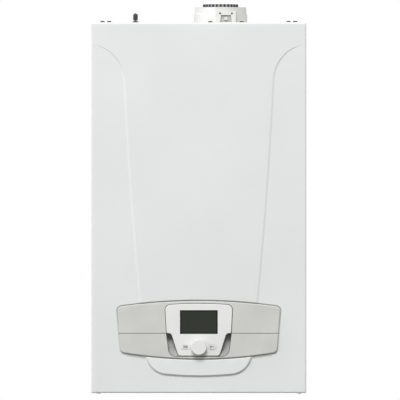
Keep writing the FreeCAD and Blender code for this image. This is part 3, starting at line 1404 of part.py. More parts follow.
def pump_motor():
    """Motor on the pump's front, with the bearing bore for the shaft and a terminal box."""
    end = PUMP_FRONT - PUMP_MOTOR_LENGTH
    body = round_edges(pump_rod(PUMP_MOTOR_RADIUS, (end, PUMP_FRONT)), PUMP_MOTOR_EDGE, 1, end)
    half = PUMP_TERMINAL_WIDTH / 2
    head = box(
        (PUMP_X - half, PUMP_X + half),
        (end + PUMP_MOTOR_EDGE, PUMP_FRONT - PUMP_MOTOR_EDGE),
        (PUMP_Z, PUMP_Z + PUMP_MOTOR_RADIUS + PUMP_TERMINAL_HEIGHT),
    )
    shaft = pump_rod(PUMP_SHAFT_RADIUS + RUNNING_GAP, (PUMP_FRONT - PUMP_SHAFT_REACH - FIT_GAP, PUMP_FRONT))
    return fuse(body, head).cut(shaft)


def pump_impeller():
    """Vaned wheel in the pump housing, on the motor's shaft."""
    front = PUMP_FRONT + PUMP_WALL
    disc_back = front + PUMP_VANE_SHEET
    disc = pump_rod(PUMP_IMPELLER_RADIUS, (front, disc_back))
    shaft = pump_rod(PUMP_SHAFT_RADIUS, (PUMP_FRONT - PUMP_SHAFT_REACH, disc_back + PUMP_VANE_HEIGHT))
    vanes = []
    for x, z, angle in around(PUMP_VANE_COUNT, 0.0, (PUMP_X, PUMP_Z)):
        half = PUMP_VANE_SHEET / 2
        vane = box(
            (PUMP_SHAFT_RADIUS / 2, PUMP_IMPELLER_RADIUS),
            (front, disc_back + PUMP_VANE_HEIGHT),
            (-half, half),
        )
        vane.rotate(Vector(0, 0, 0), Vector(0, 1, 0), math.degrees(angle))
        vane.translate(Vector(x, 0, z))
        vanes.append(vane.common(pump_rod(PUMP_IMPELLER_RADIUS, (front, disc_back + PUMP_VANE_HEIGHT))))
    return fuse(disc, shaft, *vanes)


def diverter_body():
    """Three-way valve block on the flow union."""
    middle = (DIVERTER_X, UNION_Y, (UNION_TOP + DIVERTER_TOP) / 2)
    block = centred_box(middle, (DIVERTER_WIDTH, DIVERTER_DEPTH, DIVERTER_HEIGHT))
    bore = rod(
        PIPE_BORE,
        (DIVERTER_X, UNION_Y, UNION_TOP - CUT_OVERRUN),
        (DIVERTER_X, UNION_Y, DIVERTER_TOP + CUT_OVERRUN),
    )
    return round_along(block, DIVERTER_EDGE, 2).cut(bore)


def diverter_motor():
    """Actuator on the front of the diverter."""
    front = UNION_Y - DIVERTER_DEPTH / 2
    half = DIVERTER_MOTOR_WIDTH / 2
    foot = UNION_TOP + DIVERTER_MOTOR_LIFT
    body = box(
        (DIVERTER_X - half, DIVERTER_X + half),
        (front - DIVERTER_MOTOR_LENGTH, front),
        (foot, foot + DIVERTER_MOTOR_HEIGHT),
    )
    return round_along(body, DIVERTER_EDGE, 1)


def plate_exchanger():
    """Stack of brazed plates between the diverter and the pump, standing on two legs."""
    x = (DIVERTER_X + DIVERTER_WIDTH / 2, PUMP_X - PUMP_RADIUS - PLATE_END_GAP)
    y = (PLATE_FRONT, PLATE_FRONT + PLATE_DEPTH)
    z = (UNION_TOP, UNION_TOP + PLATE_HEIGHT)
    core = box(x, y, z)
    grooves = []
    for step in range(PLATE_GROOVE_COUNT):
        seam = y[0] + PLATE_DEPTH * (step + 1) / (PLATE_GROOVE_COUNT + 1)
        outer = box(
            (x[0] - CUT_OVERRUN, x[1] + CUT_OVERRUN),
            (seam - PLATE_GROOVE / 2, seam + PLATE_GROOVE / 2),
            (z[0] - CUT_OVERRUN, z[1] + CUT_OVERRUN),
        )
        inner = box(
            (x[0] + PLATE_GROOVE, x[1] - PLATE_GROOVE),
            (y[0] - CUT_OVERRUN, y[1] + CUT_OVERRUN),
            (z[0] + PLATE_GROOVE, z[1] - PLATE_GROOVE),
        )
        grooves.append(outer.cut(inner))
    legs = []
    for start in (x[0], x[1] - PLATE_LEG_WIDTH):
        legs.append(box((start, start + PLATE_LEG_WIDTH), y, (FLOOR_TOP, UNION_TOP)))
    return fuse(cut_all(core, grooves), *legs)


# Safety valve, filling tap and gauge

def lobed_knob(radius, x, y, z):
    """Upright round knob with finger hollows around it."""
    knob = rod(radius, (x, y, min(z)), (x, y, max(z)))
    hollows = []
    for a, b, angle in around(KNOB_LOBE_COUNT, radius + KNOB_LOBE_RADIUS / 2, (x, y)):
        hollows.append(rod(KNOB_LOBE_RADIUS, (a, b, min(z) - CUT_OVERRUN), (a, b, max(z) + CUT_OVERRUN)))
    return cut_all(knob, hollows)


def safety_valve():
    """Pressure relief valve on the pump's boss, with its outlet down through the floor."""
    middle = (RELIEF_X, UNION_Y, (RELIEF_FOOT + RELIEF_TOP) / 2)
    body = centred_box(middle, (RELIEF_WIDTH, RELIEF_WIDTH, RELIEF_HEIGHT))
    end = BOTTOM + RELIEF_OUTLET_END_LIFT
    outlet = rod(RELIEF_OUTLET_RADIUS, (RELIEF_X, UNION_Y, end), (RELIEF_X, UNION_Y, RELIEF_FOOT))
    bore = rod(
        RELIEF_OUTLET_RADIUS - UNION_WALL,
        (RELIEF_X, UNION_Y, end - CUT_OVERRUN),
        (RELIEF_X, UNION_Y, RELIEF_FOOT),
    )
    neck = rod(RELIEF_NECK_RADIUS, (RELIEF_X, UNION_Y, RELIEF_TOP), (RELIEF_X, UNION_Y, RELIEF_SEAT))
    spindle = rod(
        SPINDLE_RADIUS,
        (RELIEF_X, UNION_Y, RELIEF_SEAT),
        (RELIEF_X, UNION_Y, RELIEF_SEAT + SPINDLE_REACH),
    )
    return fuse(body, outlet, neck, spindle).cut(bore)


def relief_knob():
    """Knob that lifts the safety valve when it is turned."""
    foot = RELIEF_SEAT + FIT_GAP
    knob = lobed_knob(RELIEF_KNOB_RADIUS, RELIEF_X, UNION_Y, (foot, foot + RELIEF_KNOB_HEIGHT))
    socket_end = RELIEF_SEAT + SPINDLE_REACH + FIT_GAP
    socket = rod(SPINDLE_RADIUS + RUNNING_GAP, (RELIEF_X, UNION_Y, foot), (RELIEF_X, UNION_Y, socket_end))
    return knob.cut(socket)


def filling_tap():
    """Filling tap on the floor, with its stem and spindle below."""
    nut = hex_bar(FILL_NUT_ACROSS, FILL_X, FITTING_Y, (FLOOR_TOP, FLOOR_TOP + FILL_NUT_HEIGHT))
    body = rod(
        FILL_BODY_RADIUS,
        (FILL_X, FITTING_Y, FLOOR_TOP),
        (FILL_X, FITTING_Y, FLOOR_TOP + FILL_BODY_HEIGHT),
    )
    stem = rod(FILL_STEM_RADIUS, (FILL_X, FITTING_Y, FILL_END), (FILL_X, FITTING_Y, FLOOR_TOP))
    spindle = rod(
        SPINDLE_RADIUS,
        (FILL_X, FITTING_Y, FILL_END - SPINDLE_REACH),
        (FILL_X, FITTING_Y, FILL_END),
    )
    return fuse(nut, body, stem, spindle)


def filling_knob():
    """Knob of the filling tap, under the floor."""
    top = FILL_END - FIT_GAP
    knob = lobed_knob(FILL_KNOB_RADIUS, FILL_X, FITTING_Y, (top - FILL_KNOB_HEIGHT, top))
    socket_end = FILL_END - SPINDLE_REACH - FIT_GAP
    socket = rod(SPINDLE_RADIUS + RUNNING_GAP, (FILL_X, FITTING_Y, socket_end), (FILL_X, FITTING_Y, top))
    return knob.cut(socket)


def gauge_rod(radius, z):
    """Upright bar on the gauge's axis."""
    return rod(radius, (GAUGE_X, GAUGE_Y, min(z)), (GAUGE_X, GAUGE_Y, max(z)))


def pressure_gauge():
    """Round gauge through the floor, with its dial facing down."""
    body = gauge_rod(GAUGE_RADIUS, (GAUGE_FACE, FLOOR_TOP + GAUGE_TOP_LIFT))
    flange = gauge_rod(GAUGE_RADIUS + GAUGE_FLANGE, (FLOOR_UNDER - GAUGE_FLANGE_SHEET, FLOOR_UNDER))
    recess = gauge_rod(GAUGE_RADIUS - GAUGE_RIM, (GAUGE_FACE - CUT_OVERRUN, GAUGE_DIAL))
    pin = gauge_rod(NEEDLE_PIN_RADIUS, (GAUGE_DIAL - NEEDLE_PIN_REACH, GAUGE_DIAL))
    return fuse(fuse(body, flange).cut(recess), pin)


def gauge_needle():
    """Needle on the gauge's pin."""
    z = (GAUGE_DIAL - NEEDLE_GAP - NEEDLE_SHEET, GAUGE_DIAL - NEEDLE_GAP)
    half = NEEDLE_WIDTH / 2
    arm = box((GAUGE_X - half, GAUGE_X + half), (GAUGE_Y - NEEDLE_LENGTH, GAUGE_Y + NEEDLE_TAIL), z)
    needle = fuse(gauge_rod(NEEDLE_HUB_RADIUS, z), arm)
    return needle.cut(gauge_rod(NEEDLE_PIN_RADIUS + RUNNING_GAP, (z[0] - CUT_OVERRUN, z[1] + CUT_OVERRUN)))


def cable_glands():
    """Two rubber glands through the floor."""
    pieces = []
    for x in (GLAND_X, GLAND_X + GLAND_PITCH):
        z = (FLOOR_UNDER - GLAND_DROP, FLOOR_TOP + GLAND_TOP_LIFT)
        radius = GLAND_BORE_RADIUS + GLAND_WALL
        body = rod(radius, (x, GLAND_Y, z[0]), (x, GLAND_Y, z[1]))
        flange_foot = FLOOR_UNDER - GLAND_FLANGE_SHEET
        flange = rod(radius + GLAND_FLANGE, (x, GLAND_Y, flange_foot), (x, GLAND_Y, FLOOR_UNDER))
        bore = rod(GLAND_BORE_RADIUS, (x, GLAND_Y, z[0] - CUT_OVERRUN), (x, GLAND_Y, z[1] + CUT_OVERRUN))
        pieces.append(fuse(body, flange).cut(bore))
    return Part.makeCompound(pieces)


# Control box

def standoff_places():
    """Places of the four posts under the main board."""
    reach_x = MAIN_BOARD_WIDTH / 2 - STANDOFF_INSET
    heights = (MAIN_BOARD_FOOT + STANDOFF_INSET, MAIN_BOARD_FOOT + MAIN_BOARD_HEIGHT - STANDOFF_INSET)
    return [(side * reach_x, z) for side in SIDES for z in heights]


def control_box_tray():
    """Plastic tray, open at its back, with two hinge pins and the posts of the board."""
    half = BOX_WIDTH / 2
    outer = box((-half, half), (BOX_FRONT, BOX_BACK), (BOX_BOTTOM, BOX_TOP))
    inner = box(
        (-half + BOX_WALL, half - BOX_WALL),
        (BOX_FRONT + BOX_WALL, BOX_BACK + CUT_OVERRUN),
        (BOX_BOTTOM + BOX_WALL, BOX_TOP - BOX_WALL),
    )
    pieces = []
    for side in SIDES:
        start, end = side * (half - BOX_WALL / 2), side * (half + BOX_PIN_LENGTH)
        pieces.append(rod(BOX_PIN_RADIUS, (start, BOX_HINGE_Y, BOX_HINGE_Z), (end, BOX_HINGE_Y, BOX_HINGE_Z)))
    for x, z in standoff_places():
        pieces.append(rod(STANDOFF_RADIUS, (x, BOX_FRONT + BOX_WALL / 2, z), (x, MAIN_BOARD_FRONT, z)))
    return fuse(outer.cut(inner), *pieces)


def control_box_lid():
    """Lid on the back of the tray, with a rim inside it."""
    half = BOX_WIDTH / 2
    plate = box((-half, half), (BOX_BACK, BOX_BACK + BOX_WALL), (BOX_BOTTOM, BOX_TOP))
    inset = BOX_WALL + FIT_GAP
    rim = box(
        (-half + inset, half - inset),
        (BOX_BACK - BOX_WALL, BOX_BACK),
        (BOX_BOTTOM + inset, BOX_TOP - inset),
    )
    inset = inset + BOX_WALL
    hollow = box(
        (-half + inset, half - inset),
        (BOX_BACK - BOX_WALL - CUT_OVERRUN, BOX_BACK),
        (BOX_BOTTOM + inset, BOX_TOP - inset),
    )
    return fuse(plate, rim.cut(hollow))


def main_board():
    """Circuit board with its transformer, relays and row of connectors."""
    half = MAIN_BOARD_WIDTH / 2
    top = MAIN_BOARD_FOOT + MAIN_BOARD_HEIGHT
    pieces = [box((-half, half), (MAIN_BOARD_FRONT, MAIN_BOARD_BACK), (MAIN_BOARD_FOOT, top))]
    left = -half + 2 * PART_INSET
    pieces.append(box(
        (left, left + TRANSFORMER_WIDTH),
        (MAIN_BOARD_BACK, MAIN_BOARD_BACK + TRANSFORMER_DEPTH),
        (top - PART_INSET - TRANSFORMER_HEIGHT, top - PART_INSET),
    ))
    relay_left = left + TRANSFORMER_WIDTH + PART_INSET
    for step in range(RELAY_COUNT):
        x = relay_left + step * RELAY_PITCH
        pieces.append(box(
            (x, x + RELAY_SIZE),
            (MAIN_BOARD_BACK, MAIN_BOARD_BACK + RELAY_SIZE),
            (top - PART_INSET - RELAY_SIZE, top - PART_INSET),
        ))
    pitch = (MAIN_BOARD_WIDTH - 2 * PART_INSET) / PLUG_COUNT
    for step in range(PLUG_COUNT):
        x = (step - (PLUG_COUNT - 1) / 2) * pitch
        pieces.append(box(
            (x - PLUG_WIDTH / 2, x + PLUG_WIDTH / 2),
            (MAIN_BOARD_BACK, MAIN_BOARD_BACK + PLUG_DEPTH),
            (MAIN_BOARD_FOOT + PART_INSET, MAIN_BOARD_FOOT + PART_INSET + PLUG_HEIGHT),
        ))
    return Part.makeCompound(pieces)


# Front cover

def cover_block(inset):
    """The cover's outer body, or the hollow inside it when an inset is given."""
    back = FRONT + COVER_DEPTH + (CUT_OVERRUN if inset else 0)
    block = box(
        (-HALF_WIDTH + inset, HALF_WIDTH - inset),
        (FRONT + inset, back),
        (BOTTOM + inset, TOP - inset),
    )
    block = round_along(block, COVER_CORNER_RADIUS - inset, 1)
    return round_edges(block, COVER_EDGE_RADIUS - inset, 1, FRONT + inset)


def raised_field():
    """Outline of the raised middle field: full width at the top, then two long creases and a lower lip."""
    edge = HALF_WIDTH + FACET_RUN + CUT_OVERRUN
    over = TOP + CUT_OVERRUN
    edge_z = TOP - CREASE_EDGE_DROP
    return outline((0.0, over), [
        ((edge, over),),
        ((edge, edge_z),),
        ((HALF_WIDTH, edge_z),),
        ((CREASE_BEND_WIDTH / 2, TOP - CREASE_BEND_DROP), (CREASE_KNEE_WIDTH / 2, TOP - CREASE_KNEE_DROP)),
        (
            (CREASE_SHIN_WIDTH / 2, BOTTOM + CREASE_SHIN_HEIGHT),
            (CREASE_ANKLE_WIDTH / 2, BOTTOM + CREASE_ANKLE_HEIGHT),
        ),
        (
            (CREASE_ARCH_WIDTH / 2, BOTTOM + CREASE_ARCH_HEIGHT),
            (CREASE_HEEL_WIDTH / 2, BOTTOM + CREASE_HEEL_HEIGHT),
        ),
        ((0.0, BOTTOM + CREASE_FOOT_HEIGHT),),
    ])


def side_facets(shift):
    """The shallow space that the facets take out of the cover, sloping out to nothing at its edges."""
    run = FACET_RUN
    rise = CREASE_FOOT_HEIGHT
    space = Part.makeWedge(
        -HALF_WIDTH - run, FRONT + shift - FACET_DEPTH, BOTTOM - rise, BOTTOM + rise, -HALF_WIDTH + run,
        HALF_WIDTH + run, FRONT + shift + FACET_DEPTH, TOP, TOP, HALF_WIDTH - run,
    )
    field = raised_field()
    if shift:
        field = grown(field, -shift)
    return space.cut(prism(field, (FRONT - COVER_DEPTH, FRONT + COVER_DEPTH)))


def cover_screw_places():
    """Seats of the screws under the cover's two tabs."""
    return [(side * COVER_SCREW_X, COVER_SCREW_Y, BOTTOM) for side in SIDES]


UP = (0, 0, 1)


def front_panel():
    """Pressed steel cover with the fascia's opening and two tabs at the bottom."""
    outer = cover_block(0).cut(side_facets(0))
    inner = cover_block(SHEET).cut(side_facets(SHEET))
    back = FRONT + COVER_DEPTH
    tabs = []
    for x, y, z in cover_screw_places():
        half = COVER_TAB_WIDTH / 2
        tab_y = (back - COVER_TAB_LENGTH, back + COVER_TAB_LENGTH)
        tabs.append(box((x - half, x + half), tab_y, (BOTTOM, BOTTOM + SHEET)))
    solid = fuse(outer.cut(inner), *tabs)
    cutters = [prism(grown(fascia_outline(), FASCIA_GAP), (FRONT - COVER_DEPTH, back))]
    cutters += [screw_hole(place, UP, SHEET) for place in cover_screw_places()]
    return cut_all(solid, cutters)


def cover_screws():
    """Two screws that hold the cover's tabs to the side panels' feet."""
    return Part.makeCompound([screw(place, UP, SCREW_REACH) for place in cover_screw_places()])


def fascia_outline():
    """Outline of the fascia: arched top and bottom edges, sides that lean in towards the bottom."""
    top_half, foot_half = FASCIA_TOP_WIDTH / 2, FASCIA_BOTTOM_WIDTH / 2
    top_corner = (top_half, FASCIA_TOP - FASCIA_TOP_RISE)
    foot_corner = (foot_half, FASCIA_FOOT + FASCIA_BOTTOM_SAG)
    top_arc = (top_half / 2, FASCIA_TOP - arc_drop(top_half / 2, top_half, FASCIA_TOP_RISE))
    foot_arc = (foot_half / 2, FASCIA_FOOT + arc_drop(foot_half / 2, foot_half, FASCIA_BOTTOM_SAG))
    shape = outline(
        (0.0, FASCIA_TOP),
        [(top_arc, top_corner), (foot_corner,), (foot_arc, (0.0, FASCIA_FOOT))],
    )
    return rounded(shape, [(top_corner, FASCIA_CORNER_RADIUS), (foot_corner, FASCIA_CORNER_RADIUS)])


def opening_outline():
    """Outline of the fascia's opening for the control unit and its two finger scoops."""
    top_half, foot_half = OPENING_TOP_WIDTH / 2, OPENING_FOOT_WIDTH / 2
    top_corner = (top_half, OPENING_TOP - OPENING_TOP_RISE)
    top_arc = (top_half / 2, OPENING_TOP - arc_drop(top_half / 2, top_half, OPENING_TOP_RISE))
    waist = (OPENING_WAIST_WIDTH / 2, SPLIT_Z)
    foot_corner = (foot_half, OPENING_FOOT)
    shape = outline(
        (0.0, OPENING_TOP),
        [(top_arc, top_corner), (waist,), (foot_corner,), ((0.0, OPENING_FOOT),)],
    )
    return rounded(shape, [(top_corner, OPENING_TOP_RADIUS), (foot_corner, OPENING_FOOT_RADIUS)])


def fascia():
    """The whole fascia: a skin with a wall round it and a flange behind the cover."""
    edge = fascia_outline()
    body = round_edges(prism(edge, (FASCIA_FACE, FLANGE_BACK)), FASCIA_EDGE_RADIUS, 1, FASCIA_FACE)
    flange = prism(grown(edge, FASCIA_FLANGE), (FLANGE_FRONT, FLANGE_BACK))
    hollow = prism(grown(edge, -FASCIA_WALL), (FASCIA_FACE + FASCIA_SKIN, FLANGE_BACK + CUT_OVERRUN))
    opening = prism(opening_outline(), (FASCIA_FACE - CUT_OVERRUN, FLANGE_BACK + CUT_OVERRUN))
    return cut_all(fuse(body, flange), [hollow, opening])


def fascia_part(z):
    """The stretch of the fascia between two heights."""
    y = (FASCIA_FACE - CUT_OVERRUN, FLANGE_BACK + CUT_OVERRUN)
    return fascia().common(box((-HALF_WIDTH, HALF_WIDTH), y, z))


def fascia_upper():
    """Upper half of the fascia."""
    return fascia_part((SPLIT_Z + SPLIT_GAP / 2, FASCIA_TOP + FASCIA_FLANGE + CUT_OVERRUN))


def fascia_lower():
    """Lower half of the fascia."""
    return fascia_part((FASCIA_FOOT - FASCIA_FLANGE - CUT_OVERRUN, SPLIT_Z - SPLIT_GAP / 2))


def unit_cradle():
    """Tray behind the fascia's opening for the control unit, with a sloping finger scoop on each side."""
    edge = opening_outline()
    front, back = FASCIA_FACE + FASCIA_SKIN, CRADLE_FLOOR + CRADLE_WALL
    hollow = prism(edge, (front - CUT_OVERRUN, CRADLE_FLOOR))
    tray = prism(grown(edge, CRADLE_WALL), (front, back)).cut(hollow)
    slope = [
        (FASCIA_FACE + SCOOP_LIP, OPENING_FOOT),
        (FASCIA_FACE + SCOOP_WAIST_DEPTH, OPENING_FOOT + SCOOP_WAIST_LIFT),
        (FASCIA_FACE + SCOOP_DEPTH, SPLIT_Z),
        (CRADLE_FLOOR, SPLIT_Z),
        (CRADLE_FLOOR, OPENING_FOOT),
    ]
    points = [Vector(-HALF_WIDTH, y, z) for y, z in slope + slope[:1]]
    ramp = Part.Face(Part.makePolygon(points)).extrude(Vector(CASE_WIDTH, 0, 0))
    scoops = ramp.common(prism(edge, (FASCIA_FACE, CRADLE_FLOOR)))
    unit_space = prism(grown(unit_outline(), UNIT_GAP), (UNIT_FACE - CUT_OVERRUN, CRADLE_FLOOR))
    return fuse(tray, scoops.cut(unit_space))


# Control unit

def unit_outline():
    """Outline of the control unit: as wide as the opening above, and drawn in between the scoops below."""
    top = OPENING_TOP - UNIT_GAP
    top_half = OPENING_TOP_WIDTH / 2 - UNIT_GAP
    top_corner = (top_half, top - OPENING_TOP_RISE)
    top_arc = (top_half / 2, top - arc_drop(top_half / 2, top_half, OPENING_TOP_RISE))
    shoulder_tip = (OPENING_WAIST_WIDTH / 2 - UNIT_GAP, SPLIT_Z)
    shoulder = (UNIT_SHOULDER_WIDTH / 2, SPLIT_Z)
    foot = (UNIT_FOOT_WIDTH / 2, OPENING_FOOT + UNIT_FOOT_GAP)
    shape = outline(
        (0.0, top),
        [(top_arc, top_corner), (shoulder_tip,), (shoulder,), (foot,), ((0.0, foot[1]),)],
    )
    return rounded(shape, [
        (top_corner, OPENING_TOP_RADIUS - UNIT_GAP),
        (shoulder_tip, UNIT_TIP_RADIUS),
        (shoulder, UNIT_SHOULDER_RADIUS),
        (foot, UNIT_FOOT_RADIUS),
    ])


def button_bar(side, extra, y):
    """Bar with a button's section, larger all round by an extra margin."""
    middle = (side * BUTTON_SPACING / 2, BUTTON_Z)
    return rounded_bar(
        BUTTON_WIDTH + 2 * extra,
        BUTTON_HEIGHT + 2 * extra,
        BUTTON_CORNER_RADIUS + extra,
        middle,
        y,
    )


def knob_rod(radius, y):
    """Bar along Y on the knob's axis."""
    return rod(radius, (0.0, min(y), KNOB_Z), (0.0, max(y), KNOB_Z))


def unit_front_shell():
    """Front shell of the control unit with its window and the holes for knob and buttons."""
    edge = unit_outline()
    block = round_edges(prism(edge, (UNIT_FACE, UNIT_BACK)), UNIT_EDGE_RADIUS, 1, UNIT_FACE)
    through = (UNIT_FACE - CUT_OVERRUN, UNIT_INSIDE + CUT_OVERRUN)
    half = WINDOW_WIDTH / 2
    cutters = [
        prism(grown(edge, -UNIT_WALL), (UNIT_INSIDE, UNIT_BACK + CUT_OVERRUN)),
        box((-half, half), through, (WINDOW_FOOT, WINDOW_FOOT + WINDOW_HEIGHT)),
        knob_rod(KNOB_SHAFT_RADIUS + FIT_GAP, through),
    ]
    cutters += [button_bar(side, FIT_GAP, through) for side in SIDES]
    return cut_all(block, cutters)


def post_places():
    """Places of the back cover's four posts."""
    high = [(side * POST_SPACING / 2, SPLIT_Z + POST_LIFT) for side in SIDES]
    return high + [(side * POST_FOOT_SPACING / 2, SPLIT_Z - POST_DROP) for side in SIDES]


def unit_back_cover():
    """Back cover of the control unit, with the posts that the board rests on."""
    edge = grown(unit_outline(), -UNIT_WALL - FIT_GAP)
    plate = prism(edge, (UNIT_BACK - UNIT_WALL, UNIT_BACK))
    posts = [rod(POST_RADIUS, (x, BOARD_BACK, z), (x, UNIT_BACK - UNIT_WALL, z)) for x, z in post_places()]
    return fuse(plate, *posts)


def display():
    """Liquid crystal module between the window and the board."""
    half = WINDOW_WIDTH / 2 + DISPLAY_BORDER
    z = (WINDOW_FOOT - DISPLAY_BORDER, WINDOW_FOOT + WINDOW_HEIGHT + DISPLAY_BORDER)
    return box((-half, half), (UNIT_INSIDE, BOARD_FRONT), z)


def unit_board():
    """Circuit board of the control unit."""
    return prism(grown(unit_outline(), -UNIT_WALL - BOARD_MARGIN), (BOARD_FRONT, BOARD_BACK))


def plunger_span():
    """Front and back of the knob's plunger."""
    front = UNIT_INSIDE + FIT_GAP
    return (front, front + PLUNGER_LENGTH)


def knob_plunger():
    """Sleeve that the knob turns in and pushes."""
    span = plunger_span()
    return knob_rod(PLUNGER_RADIUS, span).cut(knob_rod(KNOB_SHAFT_RADIUS + RUNNING_GAP, span))


def knob():
    """Rotary knob with its shaft."""
    back = UNIT_FACE - KNOB_PLAY
    cap = round_edges(
        knob_rod(KNOB_RADIUS, (back - KNOB_LENGTH, back)),
        KNOB_EDGE_RADIUS,
        1,
        back - KNOB_LENGTH,
    )
    return fuse(cap, knob_rod(KNOB_SHAFT_RADIUS, (back, plunger_span()[1])))


def button(side):
    """Push button with the flange that keeps it in the shell."""
    front = UNIT_INSIDE + FIT_GAP
    back = front + BUTTON_FLANGE_SHEET
    return fuse(
        button_bar(side, 0, (UNIT_FACE - BUTTON_PROUD, back)),
        button_bar(side, BUTTON_FLANGE, (front, back)),
    )


def left_button():
    """Button on the left of the knob."""
    return button(-1)


def right_button():
    """Button on the right of the knob."""
    return button(1)


PIECES = (
    wall_bracket, rear_frame, left_side_panel, right_side_panel, top_plate, bottom_plate,
    fixing_screws, panel_lugs, flue_adaptor, flue_duct, flue_seal, sampling_plugs,
    expansion_vessel, vessel_valve, valve_cap,
    exchanger_casing, exchanger_coil, burner_door, burner_tube, electrodes,
    fan_housing, fan_impeller, fan_motor, air_mixer, gas_valve, gas_pipe, condensate_trap, trap_cup,
    pipe_unions, heating_pipes, tap_water_pipes, pump_housing, pump_motor, pump_impeller,
    diverter_body, diverter_motor, plate_exchanger, safety_valve, relief_knob, filling_tap, filling_knob,
    pressure_gauge, gauge_needle, cable_glands, control_box_tray, control_box_lid, main_board,
    front_panel, cover_screws, fascia_upper, fascia_lower, unit_cradle,
    unit_front_shell, unit_back_cover, display, unit_board, knob_plunger, knob, left_button, right_button,
)

os.makedirs("parts", exist_ok=True)
for piece in PIECES:
    piece().exportStep("parts/" + piece.__name__ + ".step")
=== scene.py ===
import json
import math

import bmesh
import bpy
import numpy as np
from bpy.props import FloatProperty, FloatVectorProperty, PointerProperty
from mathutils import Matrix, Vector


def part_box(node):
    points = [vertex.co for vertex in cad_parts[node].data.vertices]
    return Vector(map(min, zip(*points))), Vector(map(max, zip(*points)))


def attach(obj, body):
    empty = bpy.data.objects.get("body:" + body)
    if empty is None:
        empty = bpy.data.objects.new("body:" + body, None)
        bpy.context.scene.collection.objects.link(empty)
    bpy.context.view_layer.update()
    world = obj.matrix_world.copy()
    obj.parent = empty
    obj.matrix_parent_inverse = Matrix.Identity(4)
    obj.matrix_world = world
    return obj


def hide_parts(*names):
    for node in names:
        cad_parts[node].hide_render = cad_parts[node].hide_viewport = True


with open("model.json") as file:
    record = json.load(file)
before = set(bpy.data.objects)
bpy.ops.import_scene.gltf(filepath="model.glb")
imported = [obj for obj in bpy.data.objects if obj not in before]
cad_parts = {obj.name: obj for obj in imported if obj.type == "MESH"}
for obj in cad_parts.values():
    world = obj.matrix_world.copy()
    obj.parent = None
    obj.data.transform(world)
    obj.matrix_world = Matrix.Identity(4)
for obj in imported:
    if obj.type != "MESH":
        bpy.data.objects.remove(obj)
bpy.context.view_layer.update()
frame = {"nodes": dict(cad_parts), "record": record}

bl_info = {
    "name": "Condensing boiler dressing",
    "version": (1, 0, 0),
    "blender": (4, 5, 0),
    "location": "View3D > Sidebar > Boiler",
    "description": "Pressed cover, markings, finishes and studio of a wall-hung gas boiler",
    "category": "Object",
}

MM = 0.001
COVER_LOW, COVER_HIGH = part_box("front_panel")
CASE_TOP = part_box("flue_adaptor")[0].z


# Settings that a user would change

def length(name, default, text):
    """A length in metres with its name and description."""
    return FloatProperty(name=name, description=text, default=default, min=0.0, precision=5, unit="LENGTH")


def amount(name, default, text, **kind):
    """A number of nought or more with its name and description, and a unit where it has one."""
    return FloatProperty(name=name, description=text, default=default, min=0.0, **kind)


def colour(name, default, text):
    """A linear colour with its name and description."""
    return FloatVectorProperty(
        name=name, description=text, default=default, size=3, min=0.0, max=1.0, subtype="COLOR"
    )


class BoilerCoverSettings(bpy.types.PropertyGroup):
    """Sizes of the pressed front cover."""

    sheet: length("Sheet", 1.2 * MM, "Thickness of the cover's steel")
    edge: length("Edge radius", 3.0 * MM, "Radius of the cover's rolled edge")
    depth: length("Pan depth", 30.0 * MM, "Depth of the cover from its face to its rim")
    facet: length("Facet depth", 1.5 * MM, "How far the side facets lie behind the field at the crease")
    foot_facet: length("Foot depth", 5.0 * MM, "How far the facet lies behind the field under the arch")
    foot_edge: length("Bottom depth", 4.6 * MM, "How far the bottom edge lies behind the field")
    facet_run: length("Facet run", 70.0 * MM, "Width over which a facet comes back to the cover's side")
    foot_run: length("Foot run", 34.0 * MM, "Height over which the facet comes forward to the bottom")
    crease: length("Crease width", 6.0 * MM, "Width of the pressed crease along the sides")
    foot_crease: length("Arch width", 4.8 * MM, "Width of the pressed crease along the lower arch")
    gap: length("Fascia gap", 2.0 * MM, "Gap between the cover and the fascia")
    lip: length("Lip", 1.5 * MM, "How far the edge of the fascia's opening is rounded back")


class BoilerColours(bpy.types.PropertyGroup):
    """Colours of the finishes that show from outside."""

    enamel: colour("Enamel", (0.778, 0.798, 0.789), "Cool white stoved enamel of the case")
    fascia: colour("Fascia", (0.615, 0.62, 0.59), "Warm light grey of the fascia")
    # Painted shade: the cradle is darker than the fascia's grey, standing in for the shade in the deep
    # finger scoops.
    cradle: colour("Cradle", (0.42, 0.42, 0.405), "Darker grey of the finger scoops beside the control unit")
    adaptor: colour("Flue adaptor", (0.655, 0.655, 0.64), "Pale grey of the flue adaptor")
    unit: colour("Control unit", (0.808, 0.81, 0.80), "White of the control unit, knob and buttons")
    glass: colour("Display", (0.030, 0.034, 0.027), "Dark green grey of the unlit display")
    mark: colour("Marks", (0.06, 0.06, 0.06), "Dark grey of the printed marks")


class BoilerStageSettings(bpy.types.PropertyGroup):
    """Light and camera."""

    hang: length("Hanging height", 0.9, "Height of the boiler's bottom above the floor")
    distance: length("Camera distance", 16.0, "Distance from the camera to the cover's face")
    lens: amount("Lens", 687.8, "Focal length", unit="CAMERA")
    key: amount("Key", 606.0, "Power of the lamp above", unit="POWER")
    side: amount("Side", 80.0, "Power of the lamp on the left", unit="POWER")
    rear: amount("Rear", 55.0, "Power of each lamp behind", unit="POWER")
    sky: amount("Sky", 0.645, "Light from straight above")
    ground: amount("Ground", 0.0, "Light from straight below")
    floor: amount("Floor", 0.86, "Paleness of the floor", max=1.0, subtype="FACTOR")
    bounce: amount("Bounce", 0.10, "Share of light that the floor gives back", max=1.0, subtype="FACTOR")


# Meshes

SAME_PLACE = 0.001 * MM
SLIVER = 0.003 * MM
SHARP_ANGLE = 32.0


def grid_faces(rows, columns, start=0):
    """Quads of a grid of points counted row by row."""
    index = start + np.arange(rows * columns).reshape(rows, columns)
    corners = (index[:-1, :-1], index[:-1, 1:], index[1:, 1:], index[1:, :-1])
    return np.stack(corners, axis=-1).reshape(-1, 4)


